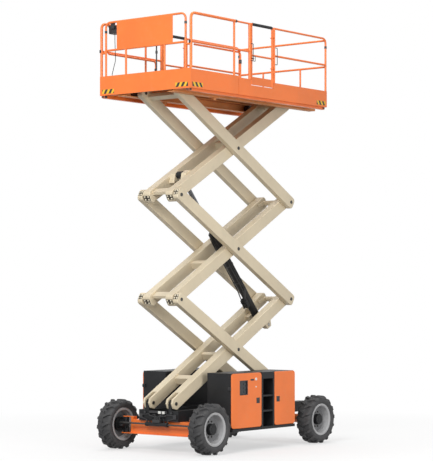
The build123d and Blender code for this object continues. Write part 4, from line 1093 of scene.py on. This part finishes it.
def entryGate(hand, side):
    shape, grip = newShape(), newShape()
    y, (x0, x1), foot = side * rails["y"], rails["gate"], deckZ + 0.012
    for x in (x0, x1):
        roundAt(shape, (x, y, foot), (x, y, topZ), tube, 24)
    roundAt(shape, (x0, y, topZ), (x1, y, topZ), tube, 24)
    roundAt(shape, (x0, y, midZ - 0.06), (x1, y, midZ - 0.06), rails["thin"], 24, 0)
    blockAt(shape, (x0, y - 0.008, foot), (x1, y + 0.008, foot + 0.14))
    roundAt(grip, (x0 + 0.012, y, topZ), (x1 - 0.012, y, topZ), rails["grip"], 32, 0.006)
    finishPiece(shape, f"entryGate_{hand}", f"gate_{hand}", orangePaint, [f"gate_{hand}"])
    loopX, loopY, high, low = x1 - 0.085, y + side * 0.020, midZ - 0.075, midZ - 0.160
    pipeRun(grip, [(x1, y, high), (x1, loopY, high), (loopX, loopY, high), (loopX, loopY, low), (x1, loopY, low),
                   (x1, y, low)], 0.0055, 0.008, 10)
    blockAt(grip, (x1 - 0.050, y - side * 0.004, midZ - 0.128), (x1 + 0.014, loopY + side * 0.004, midZ - 0.106))
    finishPiece(grip, f"gateGrip_{hand}", f"gate_{hand}", foamGrip)


rearRails()
for hand, side in sideSigns.items():
    frontRails(hand, side)
extensionRails()
for hand, side in sideSigns.items():
    entryGate(hand, side)
print("rails made")


# control station on the front rail
station = dict(depth=0.16, lid=0.060, knobs=3, knobPitch=0.055, lead=0.006)


def controlStation():
    low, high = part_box("control_box")
    shape, knobs, lead = newShape(), newShape(), newShape()
    top, back, middle = rails["top"] - station["lid"], low.x + station["depth"], (low.y + high.y) / 2
    blockAt(shape, low, (back, high.y, top), 0.012, 3)
    blockAt(shape, (low.x - 0.004, low.y - 0.010, top - 0.012), (back + 0.004, high.y + 0.020, top + 0.010), 0.005)
    blockAt(shape, (back, middle - 0.04, top - 0.05), (high.x - 0.001, middle + 0.04, rails["top"] + 0.006), 0.005)
    for index in range(station["knobs"]):
        x, y = low.x + 0.04, low.y + 0.05 + station["knobPitch"] * index
        roundAt(knobs, (x, y, top), (x, y, top + 0.012), 0.010, 24)
    x, y = low.x + 0.09, high.y - 0.07
    roundAt(knobs, (x, y, top), (x, y, top + 0.050), 0.008, 20)
    roundAt(knobs, (x, y, top + 0.045), (x, y, high.z), 0.014, 28, 0.005)
    x, y = low.x + 0.06, low.y + 0.06
    pipeRun(lead, [(x, y, low.z + 0.01), (x, y, low.z - 0.10), (low.x + 0.02, low.y + 0.04, low.z - 0.45),
                   (low.x + 0.03, low.y - 0.03, boardHigh.z + 0.10), (low.x + 0.03, low.y - 0.05, deckZ + 0.014)],
            station["lead"], 0.05, 12)
    finishPiece(shape, "controlStation", "extension", mouldedPlastic, ["control_box"])
    finishPiece(knobs, "controlKnobs", "extension", darkSteel)
    finishPiece(lead, "controlLead", "extension", hoseRubber)


controlStation()
print("control station made")


# floor, light and camera
studio = dict(world=0.4, floorTone=0.85, bounce=0.22, floorHalf=160)
lamps = {
    "keyLamp": dict(place=(17, 5, 13), aim=(0, 0, 3.6), size=9, power=2850),
    "fillLamp": dict(place=(4, 14, 3.6), aim=(0, 0, 3.4), size=7, power=860),
    "topLamp": dict(place=(-3, -2, 19), aim=(0, 0, 3.6), size=10, power=1600),
}
cameraSet = dict(place=(24.813, 19.675, 2.759), heading=38.52, lens=135.78, shift=0.138)


def seenRays(tree):
    # one for what the camera sees directly or in a reflection, else nought
    path = tree.nodes.new("ShaderNodeLightPath")
    return path, mathNode(tree, "MAXIMUM", path.outputs["Is Camera Ray"], path.outputs["Is Glossy Ray"])


def studioFloor():
    # a pale floor that glows towards its edges, so that it runs into the world's white
    shape = newShape()
    bmesh.ops.create_grid(shape, x_segments=1, y_segments=1, size=studio["floorHalf"])
    mesh = bpy.data.meshes.new("studioFloor")
    shape.to_mesh(mesh)
    shape.free()
    floor = bpy.data.objects.new("studioFloor", mesh)
    bpy.context.scene.collection.objects.link(floor)
    material, tree, shader = newMaterial("studioFloor")
    path, seen = seenRays(tree)
    pale, bounced = (studio["floorTone"],) * 3 + (1,), (studio["bounce"],) * 3 + (1,)
    tree.links.new(mixColor(tree, path.outputs["Is Diffuse Ray"], pale, bounced), shader.inputs["Base Color"])
    setInputs(shader, Roughness=0.7, Specular_IOR_Level=0.2)
    glow = tree.nodes.new("ShaderNodeEmission")
    setInputs(glow, Color=(1, 1, 1, 1))
    coords = tree.nodes.new("ShaderNodeTexCoord")
    distance = tree.nodes.new("ShaderNodeVectorMath")
    distance.operation = "LENGTH"
    tree.links.new(coords.outputs["Object"], distance.inputs[0])
    far = spread(tree, distance.outputs["Value"], 2.0, 10.0, 0.55, 1.0)
    both = tree.nodes.new("ShaderNodeMixShader")
    tree.links.new(mathNode(tree, "MULTIPLY", far, seen), both.inputs["Fac"])
    tree.links.new(shader.outputs["BSDF"], both.inputs[1])
    tree.links.new(glow.outputs["Emission"], both.inputs[2])
    tree.links.new(both.outputs["Shader"], tree.nodes["Material Output"].inputs["Surface"])
    mesh.materials.append(material)


def studioWorld():
    world = bpy.data.worlds.new("studio")
    bpy.context.scene.world = world
    world.use_nodes = True
    tree = world.node_tree
    setInputs(tree.nodes["Background"], Color=(1, 1, 1, 1))
    strength = spread(tree, seenRays(tree)[1], 0, 1, studio["world"], 1.0)
    tree.links.new(strength, tree.nodes["Background"].inputs["Strength"])


def softLamp(name, place, aim, size, power):
    lamp = bpy.data.lights.new(name, "AREA")
    lamp.shape = "SQUARE"
    lamp.size = size
    lamp.energy = power
    holder = bpy.data.objects.new(name, lamp)
    holder.location = place
    holder.rotation_euler = (Vector(aim) - Vector(place)).to_track_quat("-Z", "Y").to_euler()
    bpy.context.scene.collection.objects.link(holder)


def studioCamera():
    camera = bpy.data.cameras.new("camera")
    camera.lens = cameraSet["lens"]
    camera.sensor_width = 36
    camera.shift_y = cameraSet["shift"]
    camera.clip_end = 400
    holder = bpy.data.objects.new("camera", camera)
    holder.location = cameraSet["place"]
    heading = math.radians(cameraSet["heading"])
    holder.rotation_euler = Vector((-math.cos(heading), -math.sin(heading), 0)).to_track_quat("-Z", "Y").to_euler()
    bpy.context.scene.collection.objects.link(holder)
    bpy.context.scene.camera = holder
    bpy.context.scene.view_settings.view_transform = "Standard"


studioFloor()
studioWorld()
for name, lamp in lamps.items():
    softLamp(name, **lamp)
studioCamera()
print("studio made")
